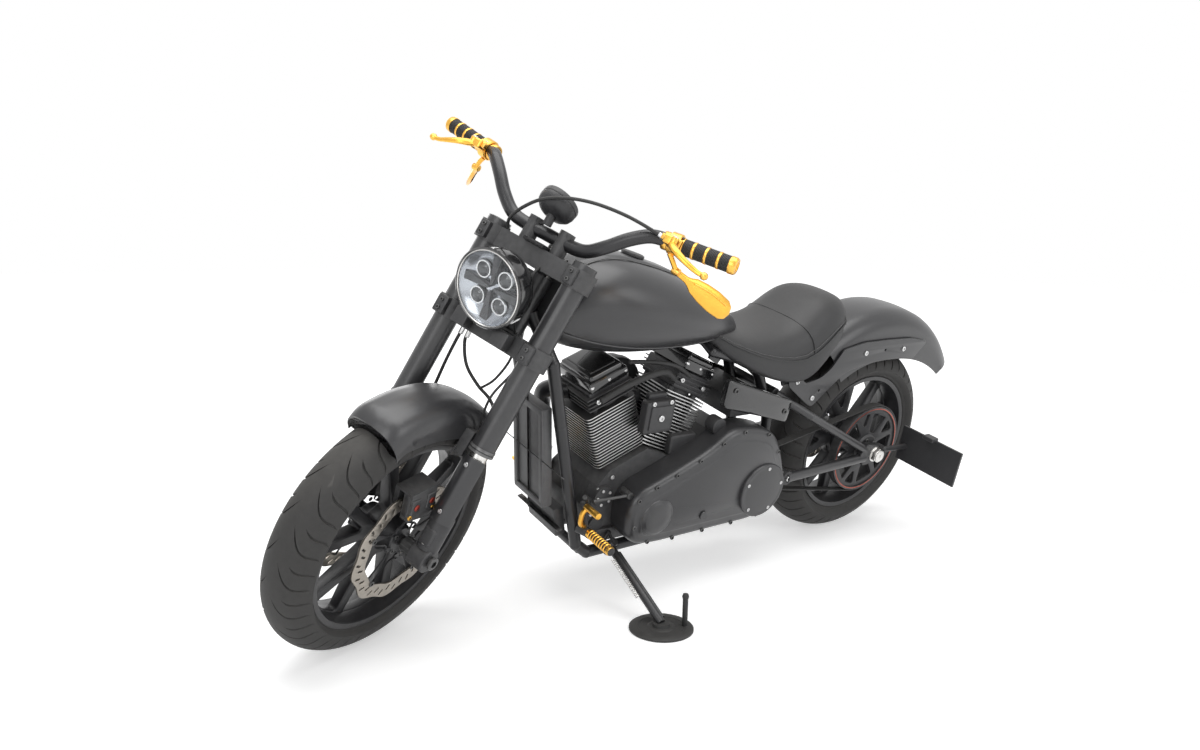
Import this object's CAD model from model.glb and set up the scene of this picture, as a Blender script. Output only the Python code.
# %% [markdown]
# # A parked cruiser motorcycle
# The machine leans on its side stand with its bars on the left stop. Every piece below is built
# upright in millimetres, in the motorcycle's own frame (+X forward, +Y to the rider's left, +Z up),
# and one matrix then leans it into place. The fork and the wheels each have a frame of their own,
# so that a wheel can be made round its own axle.

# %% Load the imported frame
import math

import bmesh
import bpy
import numpy as np
from mathutils import Matrix, Vector


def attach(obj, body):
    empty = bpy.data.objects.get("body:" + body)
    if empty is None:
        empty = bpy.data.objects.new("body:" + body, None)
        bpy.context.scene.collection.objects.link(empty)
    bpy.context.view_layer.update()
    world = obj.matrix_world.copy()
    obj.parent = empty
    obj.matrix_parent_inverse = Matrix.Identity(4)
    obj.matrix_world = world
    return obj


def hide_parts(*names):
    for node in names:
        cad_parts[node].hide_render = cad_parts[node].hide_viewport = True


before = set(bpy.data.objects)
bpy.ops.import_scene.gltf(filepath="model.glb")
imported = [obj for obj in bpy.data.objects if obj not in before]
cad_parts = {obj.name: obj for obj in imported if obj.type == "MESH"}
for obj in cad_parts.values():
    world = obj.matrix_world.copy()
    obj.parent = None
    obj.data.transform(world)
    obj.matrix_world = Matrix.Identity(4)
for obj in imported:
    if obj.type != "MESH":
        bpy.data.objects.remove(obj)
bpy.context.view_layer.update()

# %% [markdown]
# ## Frames to build in
# A matrix turns millimetres in a piece's own frame into metres on the floor. The lean, the rake and
# the steering angle are the same as in the construction file, so a piece lands on its solid.

# %% Frames
LEAN, RAKE, STEER = 13, 26.5, 24
PITCH, FLOOR_DROP = 0.2016193, -2.4368105
BOX_MIDDLE = (780.7, 213.1)
WHEELBASE, FRONT_R, REAR_R, FORK_OFFSET, FORK_HALF = 1630, 322, 326, 62, 128


def turn(axis, degrees):
    return Matrix.Rotation(math.radians(degrees), 4, axis)


def shift(x, y, z):
    return Matrix.Translation((x, y, z))


HEAD = (WHEELBASE - FORK_OFFSET * math.cos(math.radians(RAKE)), 0,
        FRONT_R - FORK_OFFSET * math.sin(math.radians(RAKE)))
PARKED = (Matrix.Scale(0.001, 4) @ shift(-BOX_MIDDLE[0], -BOX_MIDDLE[1], -FLOOR_DROP)
          @ turn("X", -LEAN) @ turn("Y", PITCH))
FORK = PARKED @ shift(*HEAD) @ turn("Y", -RAKE) @ turn("Z", STEER)
FRONT_WHEEL = FORK @ shift(FORK_OFFSET, 0, 0)
REAR_WHEEL = PARKED @ shift(0, 0, REAR_R)
print("front wheel centre:", [round(v, 3) for v in FRONT_WHEEL.translation])

# %% [markdown]
# ## Shapes that metalwork is made of
# Most of a motorcycle is turned, bent, cut from plate or cast. Each has a helper here: `lathe` turns
# a profile round the axle, `tube` bends a pipe, `cutout` cuts a plate with holes (a filled 2D curve
# does the holes), and `slab` and `loft` make the castings and the bodywork. Each returns a mesh in
# millimetres, and `place` leans it, gives it its material and lets it ride on its body.

# %% Mesh helpers
def mesh_of(verts, faces):
    bm = bmesh.new()
    vs = [bm.verts.new(v) for v in verts]
    for f in faces:
        try:
            bm.faces.new([vs[i] for i in f])
        except ValueError:
            pass
    return bm


def lathe(profile, sides=96, closed=True):
    """Turn a closed profile of (radius, y) round the Y axis."""
    n = len(profile)
    verts = [(r * math.cos(a), y, r * math.sin(a)) for a in np.linspace(0, 2 * math.pi, sides, False)
             for r, y in profile]
    faces = []
    for i in range(sides):
        j = (i + 1) % sides
        for k in range(n if closed else n - 1):
            m = (k + 1) % n
            faces.append((i * n + k, i * n + m, j * n + m, j * n + k))
    bm = mesh_of(verts, faces)
    bmesh.ops.remove_doubles(bm, verts=bm.verts, dist=1e-4)
    return bm


def rounded(points, radius, steps=5):
    """Round the corners of a closed polygon."""
    out, n = [], len(points)
    for i in range(n):
        p, q, r = (Vector(points[(i + k) % n][:2]) for k in (-1, 0, 1))
        a, b = (p - q), (r - q)
        reach = min(radius, a.length * 0.48, b.length * 0.48)
        a, b = q + a.normalized() * reach, q + b.normalized() * reach
        for t in np.linspace(0, 1, steps):
            out.append(tuple((1 - t) ** 2 * a + 2 * t * (1 - t) * q + t * t * b))
    return out


def ring(radius, sides=96, centre=(0, 0), wave=0, waves=0):
    return [(centre[0] + (radius + wave * math.cos(waves * a)) * math.cos(a),
             centre[1] + (radius + wave * math.cos(waves * a)) * math.sin(a))
            for a in np.linspace(0, 2 * math.pi, sides, False)]


def cutout(loops, thick, bevel=0.6):
    """A plate in the XZ plane with holes, its middle at y = 0."""
    cu = bpy.data.curves.new("cut", "CURVE")
    cu.dimensions, cu.fill_mode = "2D", "BOTH"
    cu.extrude, cu.bevel_depth, cu.bevel_resolution, cu.offset = thick / 2 - bevel, bevel, 2, -bevel
    for loop in loops:
        sp = cu.splines.new("POLY")
        sp.points.add(len(loop) - 1)
        for p, q in zip(sp.points, loop):
            p.co = (q[0], q[1], 0, 1)
        sp.use_cyclic_u = True
    o = bpy.data.objects.new("cut", cu)
    bpy.context.scene.collection.objects.link(o)
    me = bpy.data.meshes.new_from_object(o.evaluated_get(bpy.context.evaluated_depsgraph_get()))
    bm = bmesh.new()
    bm.from_mesh(me)
    bpy.data.objects.remove(o)
    bpy.data.curves.remove(cu)
    bpy.data.meshes.remove(me)
    bm.transform(turn("X", 90))
    bmesh.ops.remove_doubles(bm, verts=bm.verts, dist=1e-3)
    return bm


def soften(bm, bevel, segments=3, angle=30):
    """Round every edge sharper than an angle, as a casting's are."""
    if bevel:
        sharp = [e for e in bm.edges if len(e.link_faces) == 2
                 and e.calc_face_angle(0) > math.radians(angle)]
        bmesh.ops.bevel(bm, geom=sharp, offset=bevel, segments=segments, profile=0.6,
                        affect="EDGES", clamp_overlap=True)
    return bm


def slab(outline, y0, y1, bevel=3, segments=3):
    """A solid cut to an outline of (x, z), between y0 and y1, with rounded edges."""
    n = len(outline)
    verts = [(x, y, z) for y in (y0, y1) for x, z in outline]
    faces = [tuple(range(n)), tuple(range(2 * n - 1, n - 1, -1))]
    faces += [(i, i + n, (i + 1) % n + n, (i + 1) % n) for i in range(n)]
    return soften(mesh_of(verts, faces), bevel, segments)


def box(centre, size, bevel=2, segments=2):
    bm = bmesh.new()
    bmesh.ops.create_cube(bm, size=1, matrix=shift(*centre) @ Matrix.Diagonal((*size, 1)))
    return soften(bm, bevel, segments)


def rod(a, b, r, sides=32, bevel=1.0, r2=None):
    """A round bar from a to b."""
    a, b = Vector(a), Vector(b)
    bm = bmesh.new()
    spin = (b - a).to_track_quat("Z", "Y").to_matrix().to_4x4()
    bmesh.ops.create_cone(bm, cap_ends=True, segments=sides, radius1=r, radius2=r if r2 is None else r2,
                          depth=(b - a).length, matrix=Matrix.Translation((a + b) / 2) @ spin)
    return soften(bm, bevel, 2, 60)


def spline(points, steps=8):
    """A smooth line through the points."""
    p = [Vector(q) for q in points]
    out = []
    for i in range(len(p) - 1):
        a, b, c, d = p[max(i - 1, 0)], p[i], p[i + 1], p[min(i + 2, len(p) - 1)]
        for t in np.linspace(0, 1, steps, False):
            out.append(0.5 * (2 * b + (c - a) * t + (2 * a - 5 * b + 4 * c - d) * t * t
                              + (3 * b - 3 * c + d - a) * t ** 3))
    return out + [p[-1]]


def tube(points, r, sides=20, steps=8, radii=None, flat=1.0):
    """A pipe bent through the points; radii may thin it along the way, flat squashes it."""
    line = spline(points, steps) if steps > 1 else [Vector(p) for p in points]
    verts, faces, side = [], [], None
    for i, q in enumerate(line):
        along = (line[min(i + 1, len(line) - 1)] - line[max(i - 1, 0)]).normalized()
        if side is None:
            side = along.orthogonal().normalized()
        side = (side - along * side.dot(along)).normalized()
        up = along.cross(side)
        s = r if radii is None else float(np.interp(i / (len(line) - 1),
                                                    np.linspace(0, 1, len(radii)), radii))
        for k in range(sides):
            a = 2 * math.pi * k / sides
            verts.append(q + side * s * math.cos(a) + up * s * flat * math.sin(a))
    for i in range(len(line) - 1):
        for k in range(sides):
            m = (k + 1) % sides
            faces.append((i * sides + k, i * sides + m, (i + 1) * sides + m, (i + 1) * sides + k))
    faces.append(tuple(reversed(range(sides))))
    faces.append(tuple((len(line) - 1) * sides + k for k in range(sides)))
    return mesh_of(verts, faces)


def loft(rings, cap=True, closed=True):
    """Skin over rings of points with equal counts."""
    n = len(rings[0])
    verts = [v for r in rings for v in r]
    faces = [(i * n + k, i * n + (k + 1) % n, (i + 1) * n + (k + 1) % n, (i + 1) * n + k)
             for i in range(len(rings) - 1) for k in range(n if closed else n - 1)]
    if cap:
        faces += [tuple(range(n)), tuple(range(len(verts) - 1, len(verts) - n - 1, -1))]
    return mesh_of(verts, faces)


def moved(bm, matrix):
    bm.transform(matrix)
    if matrix.determinant() < 0:
        bmesh.ops.reverse_faces(bm, faces=bm.faces)
    return bm


def joined(*parts):
    out = bmesh.new()
    for bm in parts:
        me = bpy.data.meshes.new("part")
        bm.to_mesh(me)
        bm.free()
        out.from_mesh(me)
        bpy.data.meshes.remove(me)
    return out


MIRROR = Matrix.Diagonal((1, -1, 1, 1))


def both(bm):
    """A piece and its mirror image on the other side."""
    twin = bm.copy()
    return joined(bm, moved(twin, MIRROR))


def place(name, bm, where, material, body, replaces=(), subdivide=0, crease=35, outward=True):
    if outward:
        bmesh.ops.recalc_face_normals(bm, faces=bm.faces)
    bm.transform(where)
    me = bpy.data.meshes.new(name)
    bm.to_mesh(me)
    bm.free()
    me.shade_smooth()
    if crease and not subdivide:
        me.set_sharp_from_angle(angle=math.radians(crease))
    o = bpy.data.objects.new(name, me)
    bpy.context.scene.collection.objects.link(o)
    me.materials.append(material)
    if subdivide:
        s = o.modifiers.new("smooth", "SUBSURF")
        s.levels = s.render_levels = subdivide
    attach(o, body)
    if replaces:
        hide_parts(*([replaces] if isinstance(replaces, str) else replaces))
    return o


# %% [markdown]
# ## Geometry Nodes for what repeats
# Screws, belt teeth and fins are one small shape many times over. This tree sets a shape on each
# point of a mesh, turned and scaled by the point's own attributes, then realizes the instances so
# that the result is a plain mesh.

# %% Repeating tree
def repeat_tree():
    tree = bpy.data.node_groups.new("set on points", "GeometryNodeTree")
    face = tree.interface
    face.new_socket("Points", in_out="INPUT", socket_type="NodeSocketGeometry")
    shape = face.new_socket("Shape", in_out="INPUT", socket_type="NodeSocketObject")
    finish = face.new_socket("Finish", in_out="INPUT", socket_type="NodeSocketMaterial")
    face.new_socket("Result", in_out="OUTPUT", socket_type="NodeSocketGeometry")
    n = tree.nodes
    gin, gout = n.new("NodeGroupInput"), n.new("NodeGroupOutput")
    info, inst = n.new("GeometryNodeObjectInfo"), n.new("GeometryNodeInstanceOnPoints")
    spin, grow = n.new("GeometryNodeInputNamedAttribute"), n.new("GeometryNodeInputNamedAttribute")
    euler = n.new("FunctionNodeEulerToRotation")
    spin.data_type, grow.data_type = "FLOAT_VECTOR", "FLOAT_VECTOR"
    spin.inputs["Name"].default_value, grow.inputs["Name"].default_value = "spin", "grow"
    real, setm = n.new("GeometryNodeRealizeInstances"), n.new("GeometryNodeSetMaterial")
    link = tree.links.new
    link(gin.outputs["Points"], inst.inputs["Points"])
    link(gin.outputs["Shape"], info.inputs["Object"])
    link(info.outputs["Geometry"], inst.inputs["Instance"])
    link(spin.outputs["Attribute"], euler.inputs["Euler"])
    link(euler.outputs["Rotation"], inst.inputs["Rotation"])
    link(grow.outputs["Attribute"], inst.inputs["Scale"])
    link(inst.outputs["Instances"], real.inputs["Geometry"])
    link(real.outputs["Geometry"], setm.inputs["Geometry"])
    link(gin.outputs["Finish"], setm.inputs["Material"])
    link(setm.outputs["Geometry"], gout.inputs["Result"])
    return tree, shape.identifier, finish.identifier


REPEAT, SHAPE_ID, FINISH_ID = repeat_tree()


def repeat(name, spots, shape, where, material, body, replaces=(), crease=35):
    """spots: (point, outward direction, scale, spin about it in degrees)."""
    tool = bpy.data.meshes.new("shape")
    shape.to_mesh(tool)
    shape.free()
    source = bpy.data.objects.new("shape", tool)
    bpy.context.scene.collection.objects.link(source)
    me = bpy.data.meshes.new("spots")
    me.from_pydata([s[0] for s in spots], [], [])
    spin = me.attributes.new("spin", "FLOAT_VECTOR", "POINT")
    grow = me.attributes.new("grow", "FLOAT_VECTOR", "POINT")
    for i, (_, out, scale, about) in enumerate(spots):
        e = (Vector(out).to_track_quat("Z", "Y").to_matrix().to_4x4() @ turn("Z", about)).to_euler()
        spin.data[i].vector = e
        grow.data[i].vector = scale if hasattr(scale, "__len__") else (scale,) * 3
    holder = bpy.data.objects.new("spots", me)
    bpy.context.scene.collection.objects.link(holder)
    m = holder.modifiers.new("set", "NODES")
    m.node_group = REPEAT
    m[SHAPE_ID], m[FINISH_ID] = source, material
    made = bpy.data.meshes.new_from_object(holder.evaluated_get(bpy.context.evaluated_depsgraph_get()))
    bm = bmesh.new()
    bm.from_mesh(made)
    bpy.data.objects.remove(holder)
    bpy.data.objects.remove(source)
    bpy.data.meshes.remove(made)
    return place(name, bm, where, material, body, replaces, crease=crease, outward=False)


def screw_head(r=5, h=4, hollow=True):
    """A cap screw standing on z = 0: a round head with a six-sided socket."""
    prof = [(r * 0.98, 0), (r, h * 0.15), (r, h * 0.8), (r * 0.86, h)]
    if hollow:
        prof += [(r * 0.5, h), (r * 0.5, h * 0.35), (0, h * 0.3)]
    else:
        prof += [(0, h * 1.02)]
    sides = 18
    bm = lathe([(0, 0)] + prof, sides, closed=False)
    bm.transform(turn("X", 90))
    bmesh.ops.recalc_face_normals(bm, faces=bm.faces)
    return bm


def hex_head(r=7, h=5):
    bm = bmesh.new()
    bmesh.ops.create_cone(bm, cap_ends=True, segments=6, radius1=r, radius2=r, depth=h,
                          matrix=shift(0, 0, h / 2))
    return soften(bm, 0.8, 2, 50)

# %% [markdown]
# ## Camera, light and floor
# A three-quarter view from the front left, a little above the tank. The room is plain: one large
# soft light overhead, one in front, one on each side, and a white floor that still keeps the
# shadow. Only the camera, reflections and clear glass see the added white of the floor and the
# room, so it doesn't light the paint directly.

# %% Camera
camera = bpy.data.objects.new("camera", bpy.data.cameras.new("camera"))
bpy.context.scene.collection.objects.link(camera)
camera.data.lens, camera.data.sensor_width = 28.342, 36
camera.data.clip_start, camera.data.clip_end = 0.05, 60
right, up, back = ((-0.80720312, 0.58992876, 0.02017877), (-0.08315823, -0.14749743, 0.98556036),
                   (0.58438672, 0.79386936, 0.16811781))
view = Matrix((right, up, back)).transposed().to_4x4()
view.translation = (1.69272756, 1.87226077, 1.02855844)
camera.matrix_world = view
bpy.context.scene.camera = camera

# %% Lights
def softbox(name, place_at, target, size, watts):
    lamp = bpy.data.lights.new(name, "AREA")
    lamp.shape, lamp.size, lamp.size_y, lamp.energy = "RECTANGLE", size[0], size[1], watts
    o = bpy.data.objects.new(name, lamp)
    bpy.context.scene.collection.objects.link(o)
    o.location = place_at
    o.rotation_euler = (Vector(target) - Vector(place_at)).to_track_quat("-Z", "Y").to_euler()


softbox("overhead", (0.3, 0.4, 4.2), (0, 0, 0.4), (4.5, 3.2), 150)
softbox("front", (3.8, 2.2, 2.4), (0.3, 0, 0.5), (2.4, 2.4), 48)
softbox("side", (-1.6, 4.2, 2.2), (-0.2, 0, 0.5), (3.0, 2.0), 55)
softbox("far_side", (-0.5, -4.0, 2.4), (0, 0, 0.6), (3.0, 2.0), 40)

world = bpy.data.worlds.new("room")
bpy.context.scene.world = world
world.use_nodes = True
wn, wl = world.node_tree.nodes, world.node_tree.links
wn.clear()
path, seen = wn.new("ShaderNodeLightPath"), wn.new("ShaderNodeMath")
through, total = wn.new("ShaderNodeMath"), wn.new("ShaderNodeMapRange")
sky, out = wn.new("ShaderNodeBackground"), wn.new("ShaderNodeOutputWorld")
seen.operation, through.operation = "MAXIMUM", "MAXIMUM"
wl.new(path.outputs["Is Camera Ray"], seen.inputs[0])
wl.new(path.outputs["Is Transmission Ray"], seen.inputs[1])
wl.new(seen.outputs[0], through.inputs[0])
wl.new(path.outputs["Is Glossy Ray"], through.inputs[1])
ROOM_LIGHT, SEEN_WHITE = 0.26, 1.0
total.inputs["To Min"].default_value, total.inputs["To Max"].default_value = ROOM_LIGHT, SEEN_WHITE
wl.new(through.outputs[0], total.inputs["Value"])
wl.new(total.outputs["Result"], sky.inputs["Strength"])
sky.inputs["Color"].default_value = (1, 1, 1, 1)
wl.new(sky.outputs[0], out.inputs[0])

# %% Floor
floor_bm = bmesh.new()
bmesh.ops.create_grid(floor_bm, x_segments=2, y_segments=2, size=14)
floor_me = bpy.data.meshes.new("floor")
floor_bm.to_mesh(floor_me)
floor_bm.free()
floor = bpy.data.objects.new("floor", floor_me)
floor.location.z = -0.0005
bpy.context.scene.collection.objects.link(floor)
fm = bpy.data.materials.new("floor")
fm.use_nodes = True
fn, fl = fm.node_tree.nodes, fm.node_tree.links
fn.clear()
fpath, paint, glow = (fn.new("ShaderNodeLightPath"), fn.new("ShaderNodeBsdfDiffuse"),
                      fn.new("ShaderNodeEmission"))
seen_direct, seen_any, lift, add = (fn.new("ShaderNodeMath"), fn.new("ShaderNodeMath"),
                                    fn.new("ShaderNodeMath"),
                              fn.new("ShaderNodeAddShader"))
seen_direct.operation, seen_any.operation, lift.operation = "MAXIMUM", "MAXIMUM", "MULTIPLY"
fl.new(fpath.outputs["Is Camera Ray"], seen_direct.inputs[0])
fl.new(fpath.outputs["Is Transmission Ray"], seen_direct.inputs[1])
fl.new(seen_direct.outputs[0], seen_any.inputs[0])
fl.new(fpath.outputs["Is Glossy Ray"], seen_any.inputs[1])
fl.new(seen_any.outputs[0], lift.inputs[0])
near = fn.new("ShaderNodeMapRange")
span, spot = fn.new("ShaderNodeVectorMath"), fn.new("ShaderNodeTexCoord")
span.operation = "LENGTH"
fl.new(spot.outputs["Object"], span.inputs[0])
GLOW_STARTS, GLOW_FULL = 1.6, 4.5  # metres from the motorcycle
near.inputs["From Min"].default_value, near.inputs["From Max"].default_value = GLOW_STARTS, GLOW_FULL
near.inputs["To Min"].default_value, near.inputs["To Max"].default_value = 0.45, 1.0
fl.new(span.outputs["Value"], near.inputs["Value"])
fl.new(near.outputs["Result"], lift.inputs[1])
paint.inputs["Color"].default_value = (0.86, 0.86, 0.86, 1)
fl.new(lift.outputs[0], glow.inputs["Strength"])
fout = fn.new("ShaderNodeOutputMaterial")
fl.new(paint.outputs[0], add.inputs[0])
fl.new(glow.outputs[0], add.inputs[1])
fl.new(add.outputs[0], fout.inputs["Surface"])
floor_me.materials.append(fm)
bpy.context.scene.view_settings.view_transform = "Standard"
print("camera, four lights, a room and a floor")

# %% [markdown]
# ## Finishes
# Almost everything on this machine is black, so the blacks have to differ: satin paint on the
# bodywork, powder coat on the castings, gloss on the covers, moulded plastic, rubber and leather.
# One node group makes what they share: a fine grain, a slow drift of tone and gloss, dust where the
# surface faces up, and worn edges where it is sharp. Each material has its own values for them.

# %% Shared surface detail
def surface_group():
    g = bpy.data.node_groups.new("surface detail", "ShaderNodeTree")
    for name, kind, value in (("Colour", "NodeSocketColor", (0.1, 0.1, 0.1, 1)),
                              ("Worn Colour", "NodeSocketColor", (0.3, 0.3, 0.3, 1)),
                              ("Gloss Spread", "NodeSocketFloat", 0.1), ("Roughness", "NodeSocketFloat", 0.4),
                              ("Drift", "NodeSocketFloat", 0.1), ("Grain Scale", "NodeSocketFloat", 800),
                              ("Grain Depth", "NodeSocketFloat", 0.1), ("Wear", "NodeSocketFloat", 0.3),
                              ("Dust", "NodeSocketFloat", 0.1)):
        s = g.interface.new_socket(name, in_out="INPUT", socket_type=kind)
        s.default_value = value
    for name, kind in (("Colour", "NodeSocketColor"), ("Roughness", "NodeSocketFloat"),
                       ("Normal", "NodeSocketVector")):
        g.interface.new_socket(name, in_out="OUTPUT", socket_type=kind)
    n, link = g.nodes, g.links.new
    gi, go = n.new("NodeGroupInput"), n.new("NodeGroupOutput")
    coord, geo = n.new("ShaderNodeTexCoord"), n.new("ShaderNodeNewGeometry")

    def noise(scale, detail, rough=0.55):
        t = n.new("ShaderNodeTexNoise")
        t.inputs["Scale"].default_value, t.inputs["Detail"].default_value = scale, detail
        t.inputs["Roughness"].default_value = rough
        link(coord.outputs["Object"], t.inputs["Vector"])
        return t

    def maths(op, a, b, c=None):
        m = n.new("ShaderNodeMath")
        m.operation = op
        for i, v in enumerate((a, b, c)):
            if v is None:
                continue
            if isinstance(v, (int, float)):
                m.inputs[i].default_value = v
            else:
                link(v, m.inputs[i])
        return m.outputs[0]

    slow, mid, fine = noise(7, 4), noise(60, 5), noise(1, 3)
    link(gi.outputs["Grain Scale"], fine.inputs["Scale"])
    drift = maths("MULTIPLY", maths("SUBTRACT", slow.outputs["Fac"], 0.5), gi.outputs["Drift"])
    drift = maths("ADD", maths("ADD", drift, 1.0),
                  maths("MULTIPLY", maths("SUBTRACT", mid.outputs["Fac"], 0.5), gi.outputs["Drift"]))
    tone = n.new("ShaderNodeVectorMath")
    tone.operation = "SCALE"
    link(gi.outputs["Colour"], tone.inputs[0])
    link(drift, tone.inputs["Scale"])
    edge = n.new("ShaderNodeMapRange")
    edge.inputs["From Min"].default_value, edge.inputs["From Max"].default_value = 0.53, 0.62
    link(geo.outputs["Pointiness"], edge.inputs["Value"])
    worn = maths("MULTIPLY", maths("MULTIPLY", edge.outputs["Result"], gi.outputs["Wear"]),
                 maths("MULTIPLY", mid.outputs["Fac"], 1.6))
    mix = n.new("ShaderNodeMix")
    mix.data_type = "RGBA"
    link(worn, mix.inputs["Factor"])
    link(tone.outputs[0], mix.inputs[6])
    link(gi.outputs["Worn Colour"], mix.inputs[7])
    split = n.new("ShaderNodeSeparateXYZ")
    link(geo.outputs["Normal"], split.inputs[0])
    lying = n.new("ShaderNodeMapRange")
    lying.inputs["From Min"].default_value, lying.inputs["From Max"].default_value = 0.3, 1.0
    link(split.outputs["Z"], lying.inputs["Value"])
    dust = maths("MULTIPLY", maths("MULTIPLY", lying.outputs["Result"], gi.outputs["Dust"]),
                 maths("ADD", mid.outputs["Fac"], slow.outputs["Fac"]))
    dusty = n.new("ShaderNodeMix")
    dusty.data_type = "RGBA"
    dusty.inputs[7].default_value = (0.32, 0.3, 0.27, 1)
    link(dust, dusty.inputs["Factor"])
    link(mix.outputs[2], dusty.inputs[6])
    link(dusty.outputs[2], go.inputs["Colour"])
    rough = maths("ADD", gi.outputs["Roughness"],
                  maths("MULTIPLY", maths("SUBTRACT", slow.outputs["Fac"], 0.5), gi.outputs["Gloss Spread"]))
    rough = maths("ADD", rough, maths("MULTIPLY", maths("SUBTRACT", fine.outputs["Fac"], 0.5),
                                      gi.outputs["Gloss Spread"]))
    rough = maths("ADD", rough, maths("MULTIPLY", dust, 0.5))
    link(rough, go.inputs["Roughness"])
    bump = n.new("ShaderNodeBump")
    bump.inputs["Distance"].default_value = 0.0004
    link(gi.outputs["Grain Depth"], bump.inputs["Strength"])
    link(fine.outputs["Fac"], bump.inputs["Height"])
    link(bump.outputs[0], go.inputs["Normal"])
    return g


SURFACE = surface_group()


def finish(name, colour, rough, metal=0.0, worn=(0.3, 0.3, 0.3), spread=0.12, drift=0.25, grain=900,
           depth=0.15,
           wear=0.35, dust=0.05, coat=0.0, coat_rough=0.1, specular=0.5, sheen=0.0):
    m = bpy.data.materials.new(name)
    m.use_nodes = True
    n, link = m.node_tree.nodes, m.node_tree.links.new
    p = n["Principled BSDF"]
    g = n.new("ShaderNodeGroup")
    g.node_tree = SURFACE
    for key, value in (("Colour", (*colour, 1)), ("Worn Colour", (*worn, 1)), ("Gloss Spread", spread),
                       ("Roughness", rough), ("Drift", drift), ("Grain Scale", grain), ("Grain Depth", depth),
                       ("Wear", wear), ("Dust", dust)):
        g.inputs[key].default_value = value
    for key, out in (("Base Color", "Colour"), ("Roughness", "Roughness"), ("Normal", "Normal")):
        link(g.outputs[out], p.inputs[key])
    p.inputs["Metallic"].default_value = metal
    p.inputs["Coat Weight"].default_value = coat
    p.inputs["Coat Roughness"].default_value = coat_rough
    p.inputs["Specular IOR Level"].default_value = specular
    p.inputs["Sheen Weight"].default_value = sheen
    return m


SATIN = finish("satin paint", (0.022, 0.022, 0.024), 0.38, worn=(0.09, 0.09, 0.09), grain=1400, depth=0.10,
               wear=0.15, dust=0.02, drift=0.12, coat=0.3, coat_rough=0.28)
BLACK = finish("black frame paint", (0.016, 0.016, 0.018), 0.34, worn=(0.12, 0.12, 0.12), wear=0.25,
               dust=0.03)
CAST = finish("powder coat on castings", (0.026, 0.026, 0.028), 0.48, worn=(0.16, 0.16, 0.16), grain=700,
              depth=0.35, wear=0.3, dust=0.06)
GLOSS = finish("gloss black", (0.010, 0.010, 0.011), 0.14, grain=1500, depth=0.02, spread=0.08, wear=0.1,
               dust=0.02, coat=0.6, coat_rough=0.06)
PLASTIC = finish("moulded plastic", (0.022, 0.022, 0.024), 0.46, grain=1600, depth=0.3, wear=0.2)
RUBBER = finish("rubber", (0.020, 0.020, 0.020), 0.62, grain=900, depth=0.4, wear=0.3,
                worn=(0.06, 0.06, 0.06))
TYRE = finish("tyre rubber", (0.030, 0.029, 0.028), 0.72, worn=(0.10, 0.095, 0.09), grain=500, depth=0.6,
              wear=0.5, dust=0.12, drift=0.4)
RIM = finish("wheel powder coat", (0.018, 0.018, 0.020), 0.38, worn=(0.12, 0.12, 0.12), grain=900, depth=0.2,
             wear=0.3, dust=0.03)
STEEL = finish("bright steel", (0.62, 0.61, 0.59), 0.26, metal=1.0, worn=(0.8, 0.8, 0.8), grain=1200,
               depth=0.1, spread=0.15, dust=0.02)
DISC = finish("ground disc steel", (0.36, 0.33, 0.29), 0.36, metal=1.0, worn=(0.6, 0.57, 0.5), grain=1600,
              depth=0.25, spread=0.2, drift=0.35, dust=0.02)
GOLD = finish("gold anodising", (0.82, 0.44, 0.07), 0.30, metal=1.0, worn=(0.95, 0.72, 0.3), grain=1500,
              depth=0.08, spread=0.12, drift=0.18, wear=0.4, dust=0.0)
SCREW = finish("bright screws", (0.55, 0.55, 0.55), 0.3, metal=1.0, worn=(0.8, 0.8, 0.8), grain=1500,
               depth=0.1)
DARK_SCREW = finish("black screws", (0.03, 0.03, 0.03), 0.35, metal=0.3, worn=(0.3, 0.3, 0.3), grain=1500,
                    depth=0.1, wear=0.6)
LEATHER = finish("seat cover", (0.020, 0.020, 0.021), 0.52, worn=(0.05, 0.05, 0.05), grain=420, depth=0.55,
                 wear=0.2, drift=0.15, sheen=0.0, dust=0.04)
THREAD = finish("seat thread", (0.045, 0.045, 0.045), 0.6, grain=2500, depth=0.5)
RED = finish("red anodising", (0.28, 0.02, 0.015), 0.32, metal=0.8, worn=(0.7, 0.3, 0.2), grain=1500,
             depth=0.1)
MIRROR_GLASS = finish("mirror glass", (0.8, 0.82, 0.84), 0.03, metal=1.0, spread=0.01, drift=0.02, depth=0.0,
                      dust=0.0, wear=0.0)
REFLECTOR = finish("lamp reflector", (0.42, 0.43, 0.45), 0.2, metal=1.0, spread=0.05, drift=0.1, depth=0.05,
                   dust=0.0, wear=0.2)
DIAL = finish("dial glass", (0.012, 0.012, 0.013), 0.06, spread=0.02, depth=0.0, coat=1.0, coat_rough=0.03,
              wear=0.0)
GREY = finish("grey cooler shroud", (0.085, 0.085, 0.088), 0.5, worn=(0.2, 0.2, 0.2), grain=900, depth=0.25)


def glass():
    m = finish("clear lens", (0.92, 0.94, 0.96), 0.03, spread=0.01, drift=0.01, depth=0.02, wear=0, dust=0)
    p = m.node_tree.nodes["Principled BSDF"]
    p.inputs["Transmission Weight"].default_value = 1.0
    p.inputs["IOR"].default_value = 1.35
    return m


GLASS = glass()


# %% [markdown]
# A fin is cast black and then skimmed, which leaves its rim bright. The mesh carries a mark on the
# skimmed faces, and the material reads that mark.

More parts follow.
